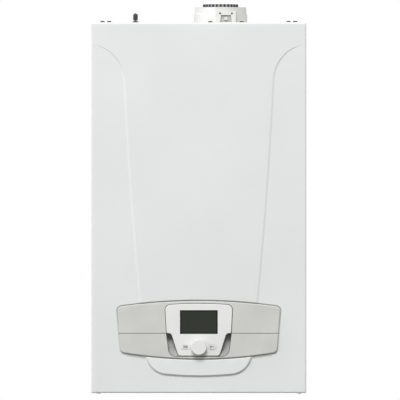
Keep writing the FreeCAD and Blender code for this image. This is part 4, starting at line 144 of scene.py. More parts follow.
def joined(grids):
    """Points and quads of several grids of points, each rows by columns by three, as one shape."""
    points, faces, start = [], [], 0
    for grid in grids:
        rows, columns = grid.shape[:2]
        points.append(grid.reshape(-1, 3))
        faces.append(grid_faces(rows, columns, start))
        start += rows * columns
    return np.concatenate(points), np.concatenate(faces)


def mirrored(points, faces):
    """The same shape with its copy on the other side of the middle plane, turned to face outwards."""
    other = points * np.array([-1.0, 1.0, 1.0])
    return np.concatenate([points, other]), np.concatenate([faces, faces[:, ::-1] + len(points)])


def mesh_object(name, points, faces, closed=False):
    """A mesh object of these points in metres, with doubled points merged. A closed shape has its faces
    turned outwards."""
    mesh = bpy.data.meshes.new(name)
    mesh.from_pydata(points.tolist(), [], faces.tolist())
    work = bmesh.new()
    work.from_mesh(mesh)
    bmesh.ops.remove_doubles(work, verts=work.verts, dist=SAME_PLACE)
    if closed:
        bmesh.ops.recalc_face_normals(work, faces=work.faces)
    work.to_mesh(mesh)
    work.free()
    obj = bpy.data.objects.new(name, mesh)
    bpy.context.scene.collection.objects.link(obj)
    return obj


def thicken(obj, sheet):
    """Gives an open surface a wall behind it."""
    wall = obj.modifiers.new("wall", "SOLIDIFY")
    wall.thickness = sheet
    wall.offset = -1.0
    wall.use_even_offset = True


def settle(obj):
    """Applies the modifiers, takes out slivers and shades smooth, with edges past SHARP_ANGLE kept."""
    graph = bpy.context.evaluated_depsgraph_get()
    mesh = bpy.data.meshes.new_from_object(obj.evaluated_get(graph))
    work = bmesh.new()
    work.from_mesh(mesh)
    bmesh.ops.dissolve_degenerate(work, dist=SLIVER, edges=work.edges)
    work.to_mesh(mesh)
    work.free()
    obj.modifiers.clear()
    obj.data = mesh
    mesh.shade_smooth()
    mesh.set_sharp_from_angle(angle=math.radians(SHARP_ANGLE))


def place(obj, body, slot, material, *nodes):
    """Sets a piece's finish, the body that it moves with and the nodes that it stands for."""
    obj.data.materials.clear()
    obj.data.materials.append(material)
    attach(obj, body)
    if nodes:
        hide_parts(*nodes)


# Curves in the plane of the cover, as X and Z

def arc_through(start, via, end, count):
    """Points on the circle through three points. Its middle is where the chords' bisectors meet,
    and the angle runs in even steps from the first point past the second to the third."""
    a, b, c = (np.asarray(point, float) for point in (start, via, end))
    chords = np.array([b - a, c - a])
    middle = np.linalg.solve(2 * chords, (chords * (chords + 2 * a)).sum(axis=1))
    spokes = np.array([a, b, c]) - middle
    angle = np.unwrap(np.arctan2(spokes[:, 1], spokes[:, 0]))
    turn = np.linspace(angle[0], angle[2], count)
    return middle + np.hypot(*spokes[0]) * np.column_stack([np.cos(turn), np.sin(turn)])


def along(points):
    """Distance from the first point along a line of points."""
    steps = np.hypot(*np.diff(points, axis=0).T)
    return np.concatenate([[0.0], np.cumsum(steps)])


def resampled(points, places):
    """Points at given distances along a line of points."""
    run = along(points)
    return np.column_stack([np.interp(places, run, points[:, axis]) for axis in (0, 1)])


def softened(points, reach):
    """A line of evenly spaced points with its corners eased: each point becomes the mean of its
    neighbours under a bell of weights, and the ends are turned over so that they stay."""
    bell = np.hanning(2 * reach + 3)[1:-1]
    bell /= bell.sum()
    before = 2 * points[0] - points[reach:0:-1]
    after = 2 * points[-1] - points[-2:-reach - 2:-1]
    longer = np.concatenate([before, points, after])
    return np.column_stack([np.convolve(longer[:, axis], bell, mode="valid") for axis in (0, 1)])


def outward(points):
    """Unit vectors at right angles to a line of points, to its left as it runs."""
    run = np.gradient(points, axis=0)
    run /= np.maximum(np.hypot(run[:, 0], run[:, 1]), 1e-12)[:, None]
    return np.column_stack([-run[:, 1], run[:, 0]])


def ease(share):
    """Rises from nought to one and levels off: one less the square of what is left."""
    return 1.0 - (1.0 - np.clip(share, 0.0, 1.0)) ** 2


def smooth_step(share):
    """Soft step from nought to one: three squares less two cubes."""
    share = np.clip(share, 0.0, 1.0)
    return share * share * (3.0 - 2.0 * share)


def rounded_corner(before, corner, after, radius, count):
    """Points of the arc of a given radius that rounds the corner between two straight lines."""
    into = (np.asarray(before) - corner) / np.hypot(*(np.asarray(before) - corner))
    out = (np.asarray(after) - corner) / np.hypot(*(np.asarray(after) - corner))
    half = math.acos(np.clip(into @ out, -1.0, 1.0)) / 2
    reach = radius / math.tan(half)
    bisector = (into + out) / np.hypot(*(into + out))
    middle = corner + bisector * radius / math.sin(half)
    spin = middle - bisector * radius
    return arc_through(corner + into * reach, spin, corner + out * reach, count)


# Front cover, heights measured from its bottom

CREASE_EDGE = (225.0 * MM, 731.0 * MM)
CREASE_BEND = (176.0 * MM, 705.0 * MM)
CREASE_KNEE = (156.3 * MM, 655.0 * MM)
CREASE_SHIN = (142.6 * MM, 427.0 * MM)
CREASE_ANKLE = (111.0 * MM, 80.0 * MM)
CREASE_ARCH = (98.0 * MM, 52.0 * MM)
CREASE_HEEL = (76.0 * MM, 39.5 * MM)
CREASE_SOLE = (40.0 * MM, 36.5 * MM)
CREASE_FOOT = (0.0, 35.3 * MM)
CREASE_STEPS = (40, 60, 12, 14, 24)
CREASE_START = 40.0 * MM
CREASE_REACH = 1.4
CREASE_SOFTNESS = 14
LEG_FALL = 110.0 * MM
FIELD_WAIST = 200.0 * MM
FIELD_ANKLE = 170.0 * MM
FIELD_ARCH = 150.0 * MM
FIELD_FOOT = 120.0 * MM
RIM_ANKLE = 85.0 * MM
RIM_ARCH = 100.0 * MM
FIELD_ROWS = 8
CREASE_ROWS = 19
FACET_ROWS = 12
CUTTER_FRONT = 30.0 * MM
CUTTER_BACK = 60.0 * MM
FASCIA_TOP = 192.8 * MM
FASCIA_FOOT = 71.6 * MM
FASCIA_TOP_HALF = 170.8 * MM
FASCIA_FOOT_HALF = 163.5 * MM
FASCIA_RISE = 12.8 * MM
FASCIA_SAG = 14.0 * MM
FASCIA_CORNER = 9.0 * MM
OPENING_TOP = 188.0 * MM
OPENING_RISE = 3.2 * MM
OPENING_TOP_HALF = 71.5 * MM
OPENING_WAIST = 125.2 * MM
OPENING_WAIST_HALF = 68.3 * MM
OPENING_FOOT = 76.7 * MM
OPENING_FOOT_HALF = 62.0 * MM
OPENING_TOP_RADIUS = 12.0 * MM
OPENING_FOOT_RADIUS = 16.0 * MM
# Strip of black rubber along the opening's edge: painted shade of the gap round the control unit
SHADE_STRIP_INSIDE = 0.55 * MM
SHADE_STRIP_OUTSIDE = 0.45 * MM
SHADE_STRIP_RISE = 0.3 * MM
SHADE_STRIP_SKIRT = 2.8 * MM
SHADE_STRIP_SLACK = 0.03 * MM
TAB_HALF = 10.0 * MM
TAB_REACH = 18.0 * MM
TAB_INSET = 14.2 * MM
TAB_HOLE = 2.3 * MM
TAB_POWER = 8.0


def crease_line(half):
    """Right half of the crease, from the cover's side round to the middle of its foot: four arcs,
    softened where they meet. Also gives the places of the joints and of the middle of the ankle."""
    top = arc_through(CREASE_EDGE, CREASE_BEND, CREASE_KNEE, 200)
    top = top[top[:, 0] <= half]
    leg = arc_through(CREASE_KNEE, CREASE_SHIN, CREASE_ANKLE, 121)
    ankle = arc_through(CREASE_ANKLE, CREASE_ARCH, CREASE_HEEL, 91)
    foot = arc_through(CREASE_HEEL, CREASE_SOLE, CREASE_FOOT, 91)
    line = np.concatenate([top, leg[1:], ankle[1:], foot[1:]])
    line[0, 0] = half
    half_ankle = len(ankle) // 2
    joints = np.cumsum([0, len(top) - 1, len(leg) - 1, half_ankle, half_ankle, len(foot) - 1])
    marks = along(line)[joints]
    fine = resampled(line, np.linspace(0.0, marks[-1], int(marks[-1] / MM)))
    fine = softened(fine, CREASE_SOFTNESS)
    marks *= along(fine)[-1] / marks[-1]
    stops = [np.linspace(a, b, n, endpoint=False) for a, b, n in zip(marks, marks[1:], CREASE_STEPS)]
    stops = np.concatenate(stops + [marks[-1:]])
    return resampled(fine, stops), stops, marks


def edge_points(stops, marks, xs, zs):
    """Points that run from corner to corner as the crease runs from joint to joint."""
    return np.column_stack([np.interp(stops, marks, xs), np.interp(stops, marks, zs)])


def cover_face(s, half, height):
    """Right half of the cover's face as a grid: columns follow the crease, and rows cross it from
    the field to the cover's edge. Depth behind the field is the facet's depth, which eases to
    nought at the side and to a lesser depth at the bottom, times a soft step across the crease."""
    low, top = s.edge, height - s.edge
    line, stops, marks = crease_line(half)
    rim = edge_points(
        stops, marks,
        (half, half, half, half, RIM_ARCH, 0.0),
        (line[0, 1], CREASE_KNEE[1], RIM_ANKLE, low, low, low),
    )
    core = edge_points(
        stops, marks,
        (half, 0.0, 0.0, 0.0, 0.0, 0.0),
        (top, top, FIELD_WAIST, FIELD_ANKLE, FIELD_ARCH, FIELD_FOOT),
    )
    widths = (0.0, s.crease, s.crease, s.foot_crease, s.foot_crease, s.foot_crease)
    width = np.interp(stops, marks, widths) / 2 * ease(stops / CREASE_START)
    across = np.linspace(-CREASE_REACH, CREASE_REACH, CREASE_ROWS)
    near = line[None] + across[:, None, None] * (width[:, None] * outward(line))[None]
    near[..., 0] = np.clip(near[..., 0], 0.0, half)
    near[:, -1, 0] = 0.0
    inner = np.linspace(1.0, 0.0, FIELD_ROWS + 1)[:-1, None, None]
    outer = np.linspace(0.0, 1.0, FACET_ROWS + 1)[1:, None, None]
    field = near[:1] + inner * (core[None] - near[:1])
    facet = near[-1:] + outer * (rim[None] - near[-1:])
    rows = np.concatenate([field, near, facet])
    step = np.concatenate([np.full(FIELD_ROWS, -1.0), across, np.ones(FACET_ROWS)])
    fall = (stops - marks[2] + LEG_FALL) / (marks[4] - marks[2] + LEG_FALL)
    deep = s.facet + (s.foot_facet - s.facet) * smooth_step(fall)
    depth = smooth_step((step + 1.0) / 2)[:, None] * deep
    side = ease((half - rows[..., 0]) / s.facet_run)
    near_foot = 1.0 - ease((rows[..., 1] - low) / s.foot_run)
    foot = 1.0 - (1.0 - s.foot_edge / s.foot_facet) * near_foot
    return rows, depth * side * foot, marks, stops, rim, core


def corner_turn(point, start, end, count=7):
    """A corner's point repeated, with its outward direction turning from one angle to another."""
    turn = np.radians(np.linspace(start, end, count))
    return np.repeat(np.asarray(point)[None], count, axis=0), np.column_stack([np.cos(turn), np.sin(turn)])


def run_of(points, direction):
    """A straight run of points that all face one way."""
    return points, np.repeat(np.array([direction], float), len(points), axis=0)


def cover_rim(s, rows, depth, rim, core, marks, stops, half, height):
    """Rolled edge and flange of the cover's right half: a quarter circle and a straight flange
    carried along the edge from the face's depth there, with the direction turning at the corners."""
    knee = np.searchsorted(stops, marks[1] - 1e-9)
    toe = np.searchsorted(stops, marks[3] - 1e-9)
    parts = [
        run_of(core[knee::-1], (0, 1)),
        corner_turn((half, height - s.edge), 90, 0),
        run_of(rows[:FIELD_ROWS + 1, 0], (1, 0)),
        run_of(rim[:toe + 1], (1, 0)),
        corner_turn((half, s.edge), 0, -90),
        run_of(rim[toe:], (0, -1)),
    ]
    points = np.concatenate([part[0] for part in parts])
    facing = np.concatenate([part[1] for part in parts])
    level = np.zeros(len(points))
    level[-len(rim[toe:]):] = depth[-1, toe:]
    turn = np.radians(np.linspace(0, 90, 8))[:, None]
    reach = np.concatenate([s.edge * np.sin(turn[:, 0]), np.full(4, s.edge)])
    start = level + s.edge
    flange = start + np.linspace(0.0, 1.0, 5)[1:, None] * (s.depth - start)
    flat = points[None] + reach[:, None, None] * facing[None]
    return flat, np.concatenate([level + s.edge * (1 - np.cos(turn)), flange])


def upright(flat, depth):
    """Points of the cover from X, height above its bottom and depth behind its face."""
    x, z = flat[..., 0], flat[..., 1] + COVER_LOW.z
    return np.stack([x, COVER_LOW.y + depth, z], axis=-1)


def fascia_edge(gap):
    """Outline of the fascia, a gap larger all round: arched top and bottom, leaning sides and four
    rounded corners, as X and height."""
    top = np.array([FASCIA_TOP_HALF, FASCIA_TOP - FASCIA_RISE])
    foot = np.array([FASCIA_FOOT_HALF, FASCIA_FOOT + FASCIA_SAG])
    flip = np.array([-1.0, 1.0])
    top_arc = arc_through(top * flip, (0.0, FASCIA_TOP), top, 121)
    foot_arc = arc_through(foot, (0.0, FASCIA_FOOT), foot * flip, 121)
    upper = rounded_corner(top_arc[-6], top, foot, FASCIA_CORNER, 12)
    lower = rounded_corner(top, foot, foot_arc[5], FASCIA_CORNER, 12)
    top_arc = top_arc[np.abs(top_arc[:, 0]) < upper[0, 0]]
    foot_arc = foot_arc[np.abs(foot_arc[:, 0]) < lower[-1, 0]]
    loop = np.concatenate([top_arc, upper, lower, foot_arc, (lower * flip)[::-1], (upper * flip)[::-1]])
    return grown(loop, gap)


def grown(loop, gap):
    """A closed line of points moved outwards by a gap."""
    closed = np.concatenate([loop[-1:], loop, loop[:1]])
    return loop + gap * outward(closed)[1:-1]


def opening_edge(gap):
    """Outline of the fascia's opening, a gap larger all round: an arched top, sides that lean in and
    bend at the waist, a straight foot and four rounded corners, as X and height."""
    top = np.array([OPENING_TOP_HALF, OPENING_TOP - OPENING_RISE])
    waist = np.array([OPENING_WAIST_HALF, OPENING_WAIST])
    foot = np.array([OPENING_FOOT_HALF, OPENING_FOOT])
    flip = np.array([-1.0, 1.0])
    arc = arc_through(top * flip, (0.0, OPENING_TOP), top, 61)
    upper = rounded_corner(arc[-4], top, waist, OPENING_TOP_RADIUS, 12)
    lower = rounded_corner(waist, foot, (0.0, OPENING_FOOT), OPENING_FOOT_RADIUS, 14)
    arc = arc[np.abs(arc[:, 0]) < upper[0, 0]]
    right = np.concatenate([upper, waist[None], lower])
    return grown(np.concatenate([arc, right, (right * flip)[::-1]]), gap)


def depth_at(places, rows, depth):
    """Depth of the face at given places: the mean of the four nearest grid points, each weighed by
    one over the square of its distance. The left half mirrors the right one."""
    known, level = rows.reshape(-1, 2), depth.reshape(-1)
    asked = np.column_stack([np.abs(places[:, 0]), places[:, 1]])
    far = ((asked[:, None] - known[None]) ** 2).sum(axis=2) + 1e-12
    nearest = np.argpartition(far, 4, axis=1)[:, :4]
    weight = 1.0 / np.take_along_axis(far, nearest, axis=1)
    return (weight * level[nearest]).sum(axis=1) / weight.sum(axis=1)


def fascia_cutter(s, rows, depth):
    """A bar with the fascia's outline through the cover. Where it passes the face it narrows along a
    quarter circle, which leaves a rounded lip, and fans from the middle close its ends."""
    closed = np.r_[0:len(fascia_edge(0.0)), 0]
    face = depth_at(fascia_edge(s.gap), rows, depth)[closed]
    turn = np.radians(np.linspace(0.0, 90.0, 7))
    flare = np.concatenate([[s.lip], s.lip * (1.0 - np.sin(turn)), [0.0]])
    sink = np.concatenate([[-CUTTER_FRONT], s.lip * (1.0 - np.cos(turn)), [CUTTER_BACK]])
    flat = np.stack([fascia_edge(s.gap + extra)[closed] for extra in flare])
    back = sink[:, None] + face
    middle = np.broadcast_to(flat.mean(axis=1, keepdims=True), flat.shape)
    flat = np.concatenate([middle[:1], flat, middle[-1:]])
    back = np.concatenate([np.full_like(back[:1], sink[0]), back, np.full_like(back[:1], sink[-1])])
    return mesh_object("fascia_cutter", *joined([upright(flat, back)]), closed=True)


def plate_with_hole(middle, half, reach, hole, power):
    """A flat plate as a grid of rays: each ray runs from a round hole to a rounded oblong, whose
    distance is that of a superellipse of a given power."""
    turn = np.linspace(0.0, 2 * np.pi, 65)
    ray = np.column_stack([np.cos(turn), np.sin(turn)])
    far = (np.abs(ray[:, 0] / half) ** power + np.abs(ray[:, 1] / reach) ** power) ** (-1.0 / power)
    share = np.linspace(0.0, 1.0, 5)[:, None]
    radius = hole + share * (far - hole)
    x = middle[0] + radius * ray[:, 0]
    y = middle[1] + radius * ray[:, 1]
    return np.stack([x, y, np.full_like(x, middle[2])], axis=-1)


class BOILER_OT_front_cover(bpy.types.Operator):
    """Press the front cover: raised field, soft crease, rolled edges and fascia opening"""

    bl_idname = "boiler.front_cover"
    bl_label = "Front cover"

    def execute(self, context):
        s = context.scene.boiler_cover
        half = COVER_HIGH.x - s.edge
        height = COVER_HIGH.z - COVER_LOW.z
        rows, depth, marks, stops, rim, core = cover_face(s, half, height)
        edge, back = cover_rim(s, rows, depth, rim, core, marks, stops, half, height)
        points, faces = mirrored(*joined([upright(rows, depth), upright(edge, back)]))
        pan = mesh_object("cover_pan", points, faces)
        thicken(pan, s.sheet)
        settle(pan)
        cutter = fascia_cutter(s, rows, depth)
        hole = pan.modifiers.new("opening", "BOOLEAN")
        hole.operation = "DIFFERENCE"
        hole.solver = "EXACT"
        hole.object = cutter
        settle(pan)
        bpy.data.objects.remove(cutter)
        enamel = finish("white_enamel")
        place(pan, "front_cover", "white_enamel", enamel, "front_panel")
        rim_y = COVER_LOW.y + s.depth
        grids = []
        for side in (-1.0, 1.0):
            seat = (side * (COVER_HIGH.x - TAB_INSET), rim_y, COVER_LOW.z + s.sheet)
            grids.append(plate_with_hole(seat, TAB_HALF, TAB_REACH, TAB_HOLE, TAB_POWER))
        points, faces = joined(grids)
        tabs = mesh_object("cover_tabs", points, faces[:, ::-1])
        thicken(tabs, s.sheet)
        settle(tabs)
        place(tabs, "front_cover", "white_enamel", enamel)
        return {"FINISHED"}


class BOILER_OT_opening_shade_strip(bpy.types.Operator):
    """Line the fascia's opening with a strip of black rubber, painted shade of the gap round the control
    unit:
    half an ellipse over the edge and a skirt down the wall, carried round the opening"""

    bl_idname = "boiler.opening_trim"
    bl_label = "Opening trim"

    def execute(self, context):
        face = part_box("fascia_upper")[0].y - COVER_LOW.y - SHADE_STRIP_SLACK
        turn = np.radians(np.linspace(180.0, 0.0, 9))
        middle, half = (SHADE_STRIP_OUTSIDE - SHADE_STRIP_INSIDE) / 2, (SHADE_STRIP_OUTSIDE + SHADE_STRIP_INSIDE) / 2
        over = np.column_stack([middle + half * np.cos(turn), face - SHADE_STRIP_RISE * np.sin(turn)])
        wall = [[-SHADE_STRIP_SLACK, face], [-SHADE_STRIP_SLACK, face + SHADE_STRIP_SKIRT], [-SHADE_STRIP_INSIDE, face + SHADE_STRIP_SKIRT]]
        section = np.concatenate([over, wall, over[:1]])
        closed = np.r_[0:len(opening_edge(0.0)), 0]
        flat = np.stack([opening_edge(offset)[closed] for offset in section[:, 0]])
        back = np.broadcast_to(section[:, 1:], flat.shape[:2])
        shade_strip = mesh_object("opening_trim", *joined([upright(flat, back)]), closed=True)
        settle(shade_strip)
        # Black rubber here is painted shade for the gap between the fascia and the control unit.
        place(shade_strip, "front_cover", "black_rubber", finish("black_rubber"))
        return {"FINISHED"}


# Label, tip, dial and marks

LABEL_LIFT = 0.12 * MM
LABEL_FOOT = 3.4 * MM
LABEL_TOP = 35.0 * MM
LABEL_EASE = 3.0 * MM
FLUE_X = 46.0 * MM
FLUE_Y = -165.0 * MM
COLLAR_RADIUS = 54.5 * MM
COLLAR_STEP = 2.0 * MM
COLLAR_STEP_HEIGHT = 20.7 * MM
LABEL_FROM = -84.0
LABEL_TO = -11.4
MARK_SINK = 0.05 * MM
MARK_RISE = 0.12 * MM
MARK_WIDTH = 1.3 * MM
BAR_HALF = 4.2 * MM
BAR_PITCH = 2.0 * MM
ARROW_HALF = 4.4 * MM
ARROW_NECK = 1.8 * MM
ARROW_BARB = 2.4 * MM
TIP_RADIUS = 2.3 * MM
TIP_HEIGHT = 1.6 * MM
DIAL_RECESS = 5.0 * MM
DIAL_RADIUS = 18.4 * MM
DIAL_BORE = 2.2 * MM
DIAL_SHEET = 0.12 * MM
DIAL_SLACK = 0.02 * MM


class BOILER_OT_flue_label(bpy.types.Operator):
    """Stick the blank white label on the front left of the flue collar: a part of a cylinder, whose
    radius grows over the collar's step by a soft step"""

    bl_idname = "boiler.flue_label"
    bl_label = "Flue label"

    def execute(self, context):
        turn = np.radians(np.linspace(LABEL_FROM, LABEL_TO, 33))
        turn, rise = np.meshgrid(turn, np.linspace(LABEL_FOOT, LABEL_TOP, 65))
        bulge = smooth_step((COLLAR_STEP_HEIGHT + LABEL_EASE - rise) / LABEL_EASE)
        radius = COLLAR_RADIUS + LABEL_LIFT + COLLAR_STEP * bulge
        x = FLUE_X + radius * np.sin(turn)
        y = FLUE_Y - radius * np.cos(turn)
        label = mesh_object("flue_label", *joined([np.stack([x, y, CASE_TOP + rise], axis=-1)]))
        thicken(label, LABEL_LIFT)
        settle(label)
        place(label, "chassis", "white_plastic", finish("label_paper"))
        return {"FINISHED"}


def turned(low, high, radius, height, count):
    """A profile of radii and heights turned about the upright axis through the middle of a box."""
    turn = np.linspace(0.0, 2 * np.pi, count)
    x = (low.x + high.x) / 2 + radius[:, None] * np.cos(turn)
    y = (low.y + high.y) / 2 + radius[:, None] * np.sin(turn)
    return np.stack([x, y, np.broadcast_to(height[:, None], x.shape)], axis=-1)


class BOILER_OT_cap_tip(bpy.types.Operator):
    """Top the charging valve's cap with its small tip: a quarter ellipse turned about the cap's axis, with
    a flat foot on the cap"""

    bl_idname = "boiler.cap_tip"
    bl_label = "Cap tip"

    def execute(self, context):
        low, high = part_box("valve_cap")
        climb = np.linspace(0.0, np.pi / 2, 9)
        radius = TIP_RADIUS * np.concatenate([[0.0], np.cos(climb)])
        rise = TIP_HEIGHT * np.concatenate([[0.0], np.sin(climb)])
        tip = mesh_object("cap_tip", *joined([turned(low, high, radius, high.z + rise, 33)]), closed=True)
        settle(tip)
        place(tip, "valve_cap", "black_plastic", finish("black_plastic"))
        return {"FINISHED"}


class BOILER_OT_gauge_dial(bpy.types.Operator):
    """Lay the printed dial in the pressure gauge: a flat ring from the needle's pin to the rim, which
    faces down"""

    bl_idname = "boiler.gauge_dial"
    bl_label = "Gauge dial"

    def execute(self, context):
        low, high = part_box("pressure_gauge")
        radius = np.linspace(DIAL_BORE, DIAL_RADIUS, 5)
        level = np.full_like(radius, low.z + DIAL_RECESS - DIAL_SHEET - DIAL_SLACK)
        dial = mesh_object("gauge_dial", *joined([turned(low, high, radius, level, 65)]))
        thicken(dial, DIAL_SHEET)
        settle(dial)
        place(dial, "chassis", "white_plastic", finish("dial_print"))
        return {"FINISHED"}


def raised_bar(start, end, face):
    """A printed bar with round ends: at each turn about its middle line the surface runs from that line
    to the rim, standing up as one less the square of the share of the half width. Below the face it goes
    straight down and back to the line, which closes it."""
    start, end = np.asarray(start, float), np.asarray(end, float)
    run = (end - start) / np.hypot(*(end - start))
    left = np.array([-run[1], run[0]])
    turn = np.linspace(0.0, 2 * np.pi, 33)
    fan = np.column_stack([np.cos(turn), np.sin(turn)])
    rim = fan[:, :1] * run + fan[:, 1:] * left
    spine = np.where(np.cos(turn)[:, None] >= 0, end, start)
    share = np.linspace(0.0, 1.0, 5)
    lift = np.concatenate([MARK_RISE * (1.0 - share ** 2), [-MARK_SINK, -MARK_SINK]])
    share = np.concatenate([share, [1.0, 0.0]])
    flat = spine[None] + share[:, None, None] * MARK_WIDTH / 2 * rim[None]
    depth = np.broadcast_to(face - lift[:, None], flat.shape[:2])
    return np.stack([flat[..., 0], depth, flat[..., 1]], axis=-1)


class BOILER_OT_button_marks(bpy.types.Operator):
    """Print three bars on the left button and an arrow on the right one"""

    bl_idname = "boiler.button_marks"
    bl_label = "Button marks"

    def execute(self, context):
        low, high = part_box("left_button")
        x, z, face = (low.x + high.x) / 2, (low.z + high.z) / 2, low.y
        heights = (z - BAR_PITCH, z, z + BAR_PITCH)
        bars = [raised_bar((x - BAR_HALF, level), (x + BAR_HALF, level), face) for level in heights]
        menu = mesh_object("menu_mark", *joined(bars), closed=True)
        settle(menu)
        place(menu, "left_button", "black_plastic", finish("mark_ink"))
        x = -x
        tip = (x - ARROW_HALF, z)
        strokes = [
            raised_bar(tip, (x + ARROW_HALF, z), face),
            raised_bar(tip, (x - ARROW_NECK, z + ARROW_BARB), face),
            raised_bar(tip, (x - ARROW_NECK, z - ARROW_BARB), face),
        ]
        back = mesh_object("back_mark", *joined(strokes), closed=True)
        settle(back)
        place(back, "right_button", "black_plastic", finish("mark_ink"))
        return {"FINISHED"}


# Finishes

SEAL_RADIUS = 35.6 * MM
SEAL_FADE = 1.0 * MM
BOSS_X = 57.2 * MM
BOSS_FACE = -225.0 * MM
# Sizes of the adaptor's test pocket, whose floor gets painted shade
POCKET_HALF = 12.8 * MM
POCKET_TOP = 19.0 * MM
POCKET_DEPTH = 5.5 * MM
POCKET_START = 0.4 * MM
POCKET_FADE = 3.0 * MM
DISPLAY_SHADE_WIDTH = 4.5 * MM
DISPLAY_PAINTED_SHADE = (0.004, 0.004, 0.004, 1.0)
DIAL_TICKS = 24
DIAL_TICK_SHARE = 0.11
DIAL_SCALE = (12.6 * MM, 16.4 * MM)
DIAL_END = 1.0 * MM
PAD_SHARE = 0.16
PAD_TIN = (0.55, 0.55, 0.5, 1.0)
UPRIGHT = (math.pi / 2, 0.0, 0.0)


def node(tree, kind, *links, **values):
    """A shader node with its plain inputs set and its linked ones joined."""
    made = tree.nodes.new(kind)
    for key, value in values.items():
        if hasattr(made, key):
            setattr(made, key, value)
        else:
            made.inputs[key.replace("_", " ").title()].default_value = value
    for socket, source in links:
        tree.links.new(source, made.inputs[socket])
    return made


def arithmetic(tree, operation, first, second):
    """A sum, difference or other operation on two values, each a socket or a number."""
    made = node(tree, "ShaderNodeMath", operation=operation)
    for socket, value in zip(made.inputs, (first, second)):
        if isinstance(value, float):
            socket.default_value = value
        else:
            tree.links.new(value, socket)
    return made.outputs[0]


def feed(tree, shader, socket, source):
    """Joins a value to one of the shader's sockets."""
    tree.links.new(source, shader.inputs[socket])


def finish(name):
    """The finish of this name that the script has made. The frame's plain materials have bare names."""
    return bpy.data.materials["boiler_" + name]


def blank(name):
    """A new material, its tree, its shader and its Object coordinates."""
    material = bpy.data.materials.new("boiler_" + name)
    material.use_nodes = True
    tree = material.node_tree
    place_node = tree.nodes.new("ShaderNodeTexCoord")
    return material, tree, tree.nodes["Principled BSDF"], place_node.outputs["Object"]


def shade(colour_value, factor):
    """A colour made lighter or darker, with full alpha."""
    return tuple(min(1.0, channel * factor) for channel in colour_value) + (1.0,)


def mixed(tree, source, first, second, low=0.35, high=0.65):
    """Colour that goes from one to another as a value goes from low to high."""
    ramp = node(tree, "ShaderNodeValToRGB", ("Fac", source))
    ramp.color_ramp.elements[0].position = low
    ramp.color_ramp.elements[1].position = high
    ramp.color_ramp.elements[0].color = first
    ramp.color_ramp.elements[1].color = second
    return ramp.outputs["Color"]


def spread(tree, source, low, high):
    """A value from nought to one stretched to a range."""
    made = node(tree, "ShaderNodeMapRange", ("Value", source), To_Min=low, To_Max=high)
    return made.outputs["Result"]


def share_of(tree, source, start, end):
    """Nought up to one value, one from another on, and even between."""
    made = node(tree, "ShaderNodeMapRange", ("Value", source), From_Min=start, From_Max=end)
    return made.outputs["Result"]


def turned_upright(tree, where):
    """Object coordinates turned so that a pattern on X and Y lies on the plane of the cover."""
    return node(tree, "ShaderNodeMapping", ("Vector", where), Rotation=UPRIGHT).outputs["Vector"]


def noise(tree, where, scale, detail=3.0, stretch=None):
    """Cloudy noise on Object coordinates, drawn out along an axis where asked."""
    if stretch:
        where = node(tree, "ShaderNodeMapping", ("Vector", where), Scale=stretch).outputs["Vector"]
    made = node(tree, "ShaderNodeTexNoise", ("Vector", where), Scale=scale, Detail=detail)
    return made.outputs["Fac"]


def bumped(tree, shader, source, depth, strength=1.0):
    """Relief of a given depth in metres on the shader's normal."""
    made = node(tree, "ShaderNodeBump", ("Height", source), Strength=strength, Distance=depth)
    feed(tree, shader, "Normal", made.outputs["Normal"])


def moulded(name, base, rough, grain=1400.0, depth=0.03 * MM, drift=0.05, print_and_painted_shade=None, print_and_shade_darkness=0.70):
    """Moulded plastic: fine spark-eroded grain, faint cloudiness and uneven sheen. Where a mask is given it
    is darker there, which serves for printed ticks and for painted shade on the floor of a recess."""
    material, tree, shader, where = blank(name)
    tone = mixed(tree, noise(tree, where, 14.0), shade(base, 1 - drift), shade(base, 1 + drift))
    if print_and_painted_shade:
        dark = node(tree, "ShaderNodeMix", ("Factor", print_and_painted_shade(tree, where)), data_type="RGBA")
        tree.links.new(tone, dark.inputs["A"])
        dark.inputs["B"].default_value = shade(base, print_and_shade_darkness)
        tone = dark.outputs["Result"]
    feed(tree, shader, "Base Color", tone)
    feed(tree, shader, "Roughness", spread(tree, noise(tree, where, 60.0), rough - 0.06, rough + 0.06))
    bumped(tree, shader, noise(tree, where, grain, 2.0), depth, 0.35)
    shader.inputs["Specular IOR Level"].default_value = 0.4
    return material


def painted_pocket_shade(tree, where):
    """Painted shade: one on the floor of the adaptor's test pocket, which lies behind the face of its boss,
    and nought elsewhere."""
    parts = node(tree, "ShaderNodeSeparateXYZ", ("Vector", where))
    share = share_of(tree, parts.outputs["Y"], BOSS_FACE + POCKET_START, BOSS_FACE + POCKET_FADE)
    aside = arithmetic(tree, "ABSOLUTE", arithmetic(tree, "SUBTRACT", parts.outputs["X"], BOSS_X), 0.0)
    limits = (
        (aside, POCKET_HALF),
        (parts.outputs["Y"], BOSS_FACE + POCKET_DEPTH),
        (parts.outputs["Z"], CASE_TOP + POCKET_TOP),
    )
    for value, limit in limits:
        share = arithmetic(tree, "MULTIPLY", share, arithmetic(tree, "LESS_THAN", value, limit))
    return share


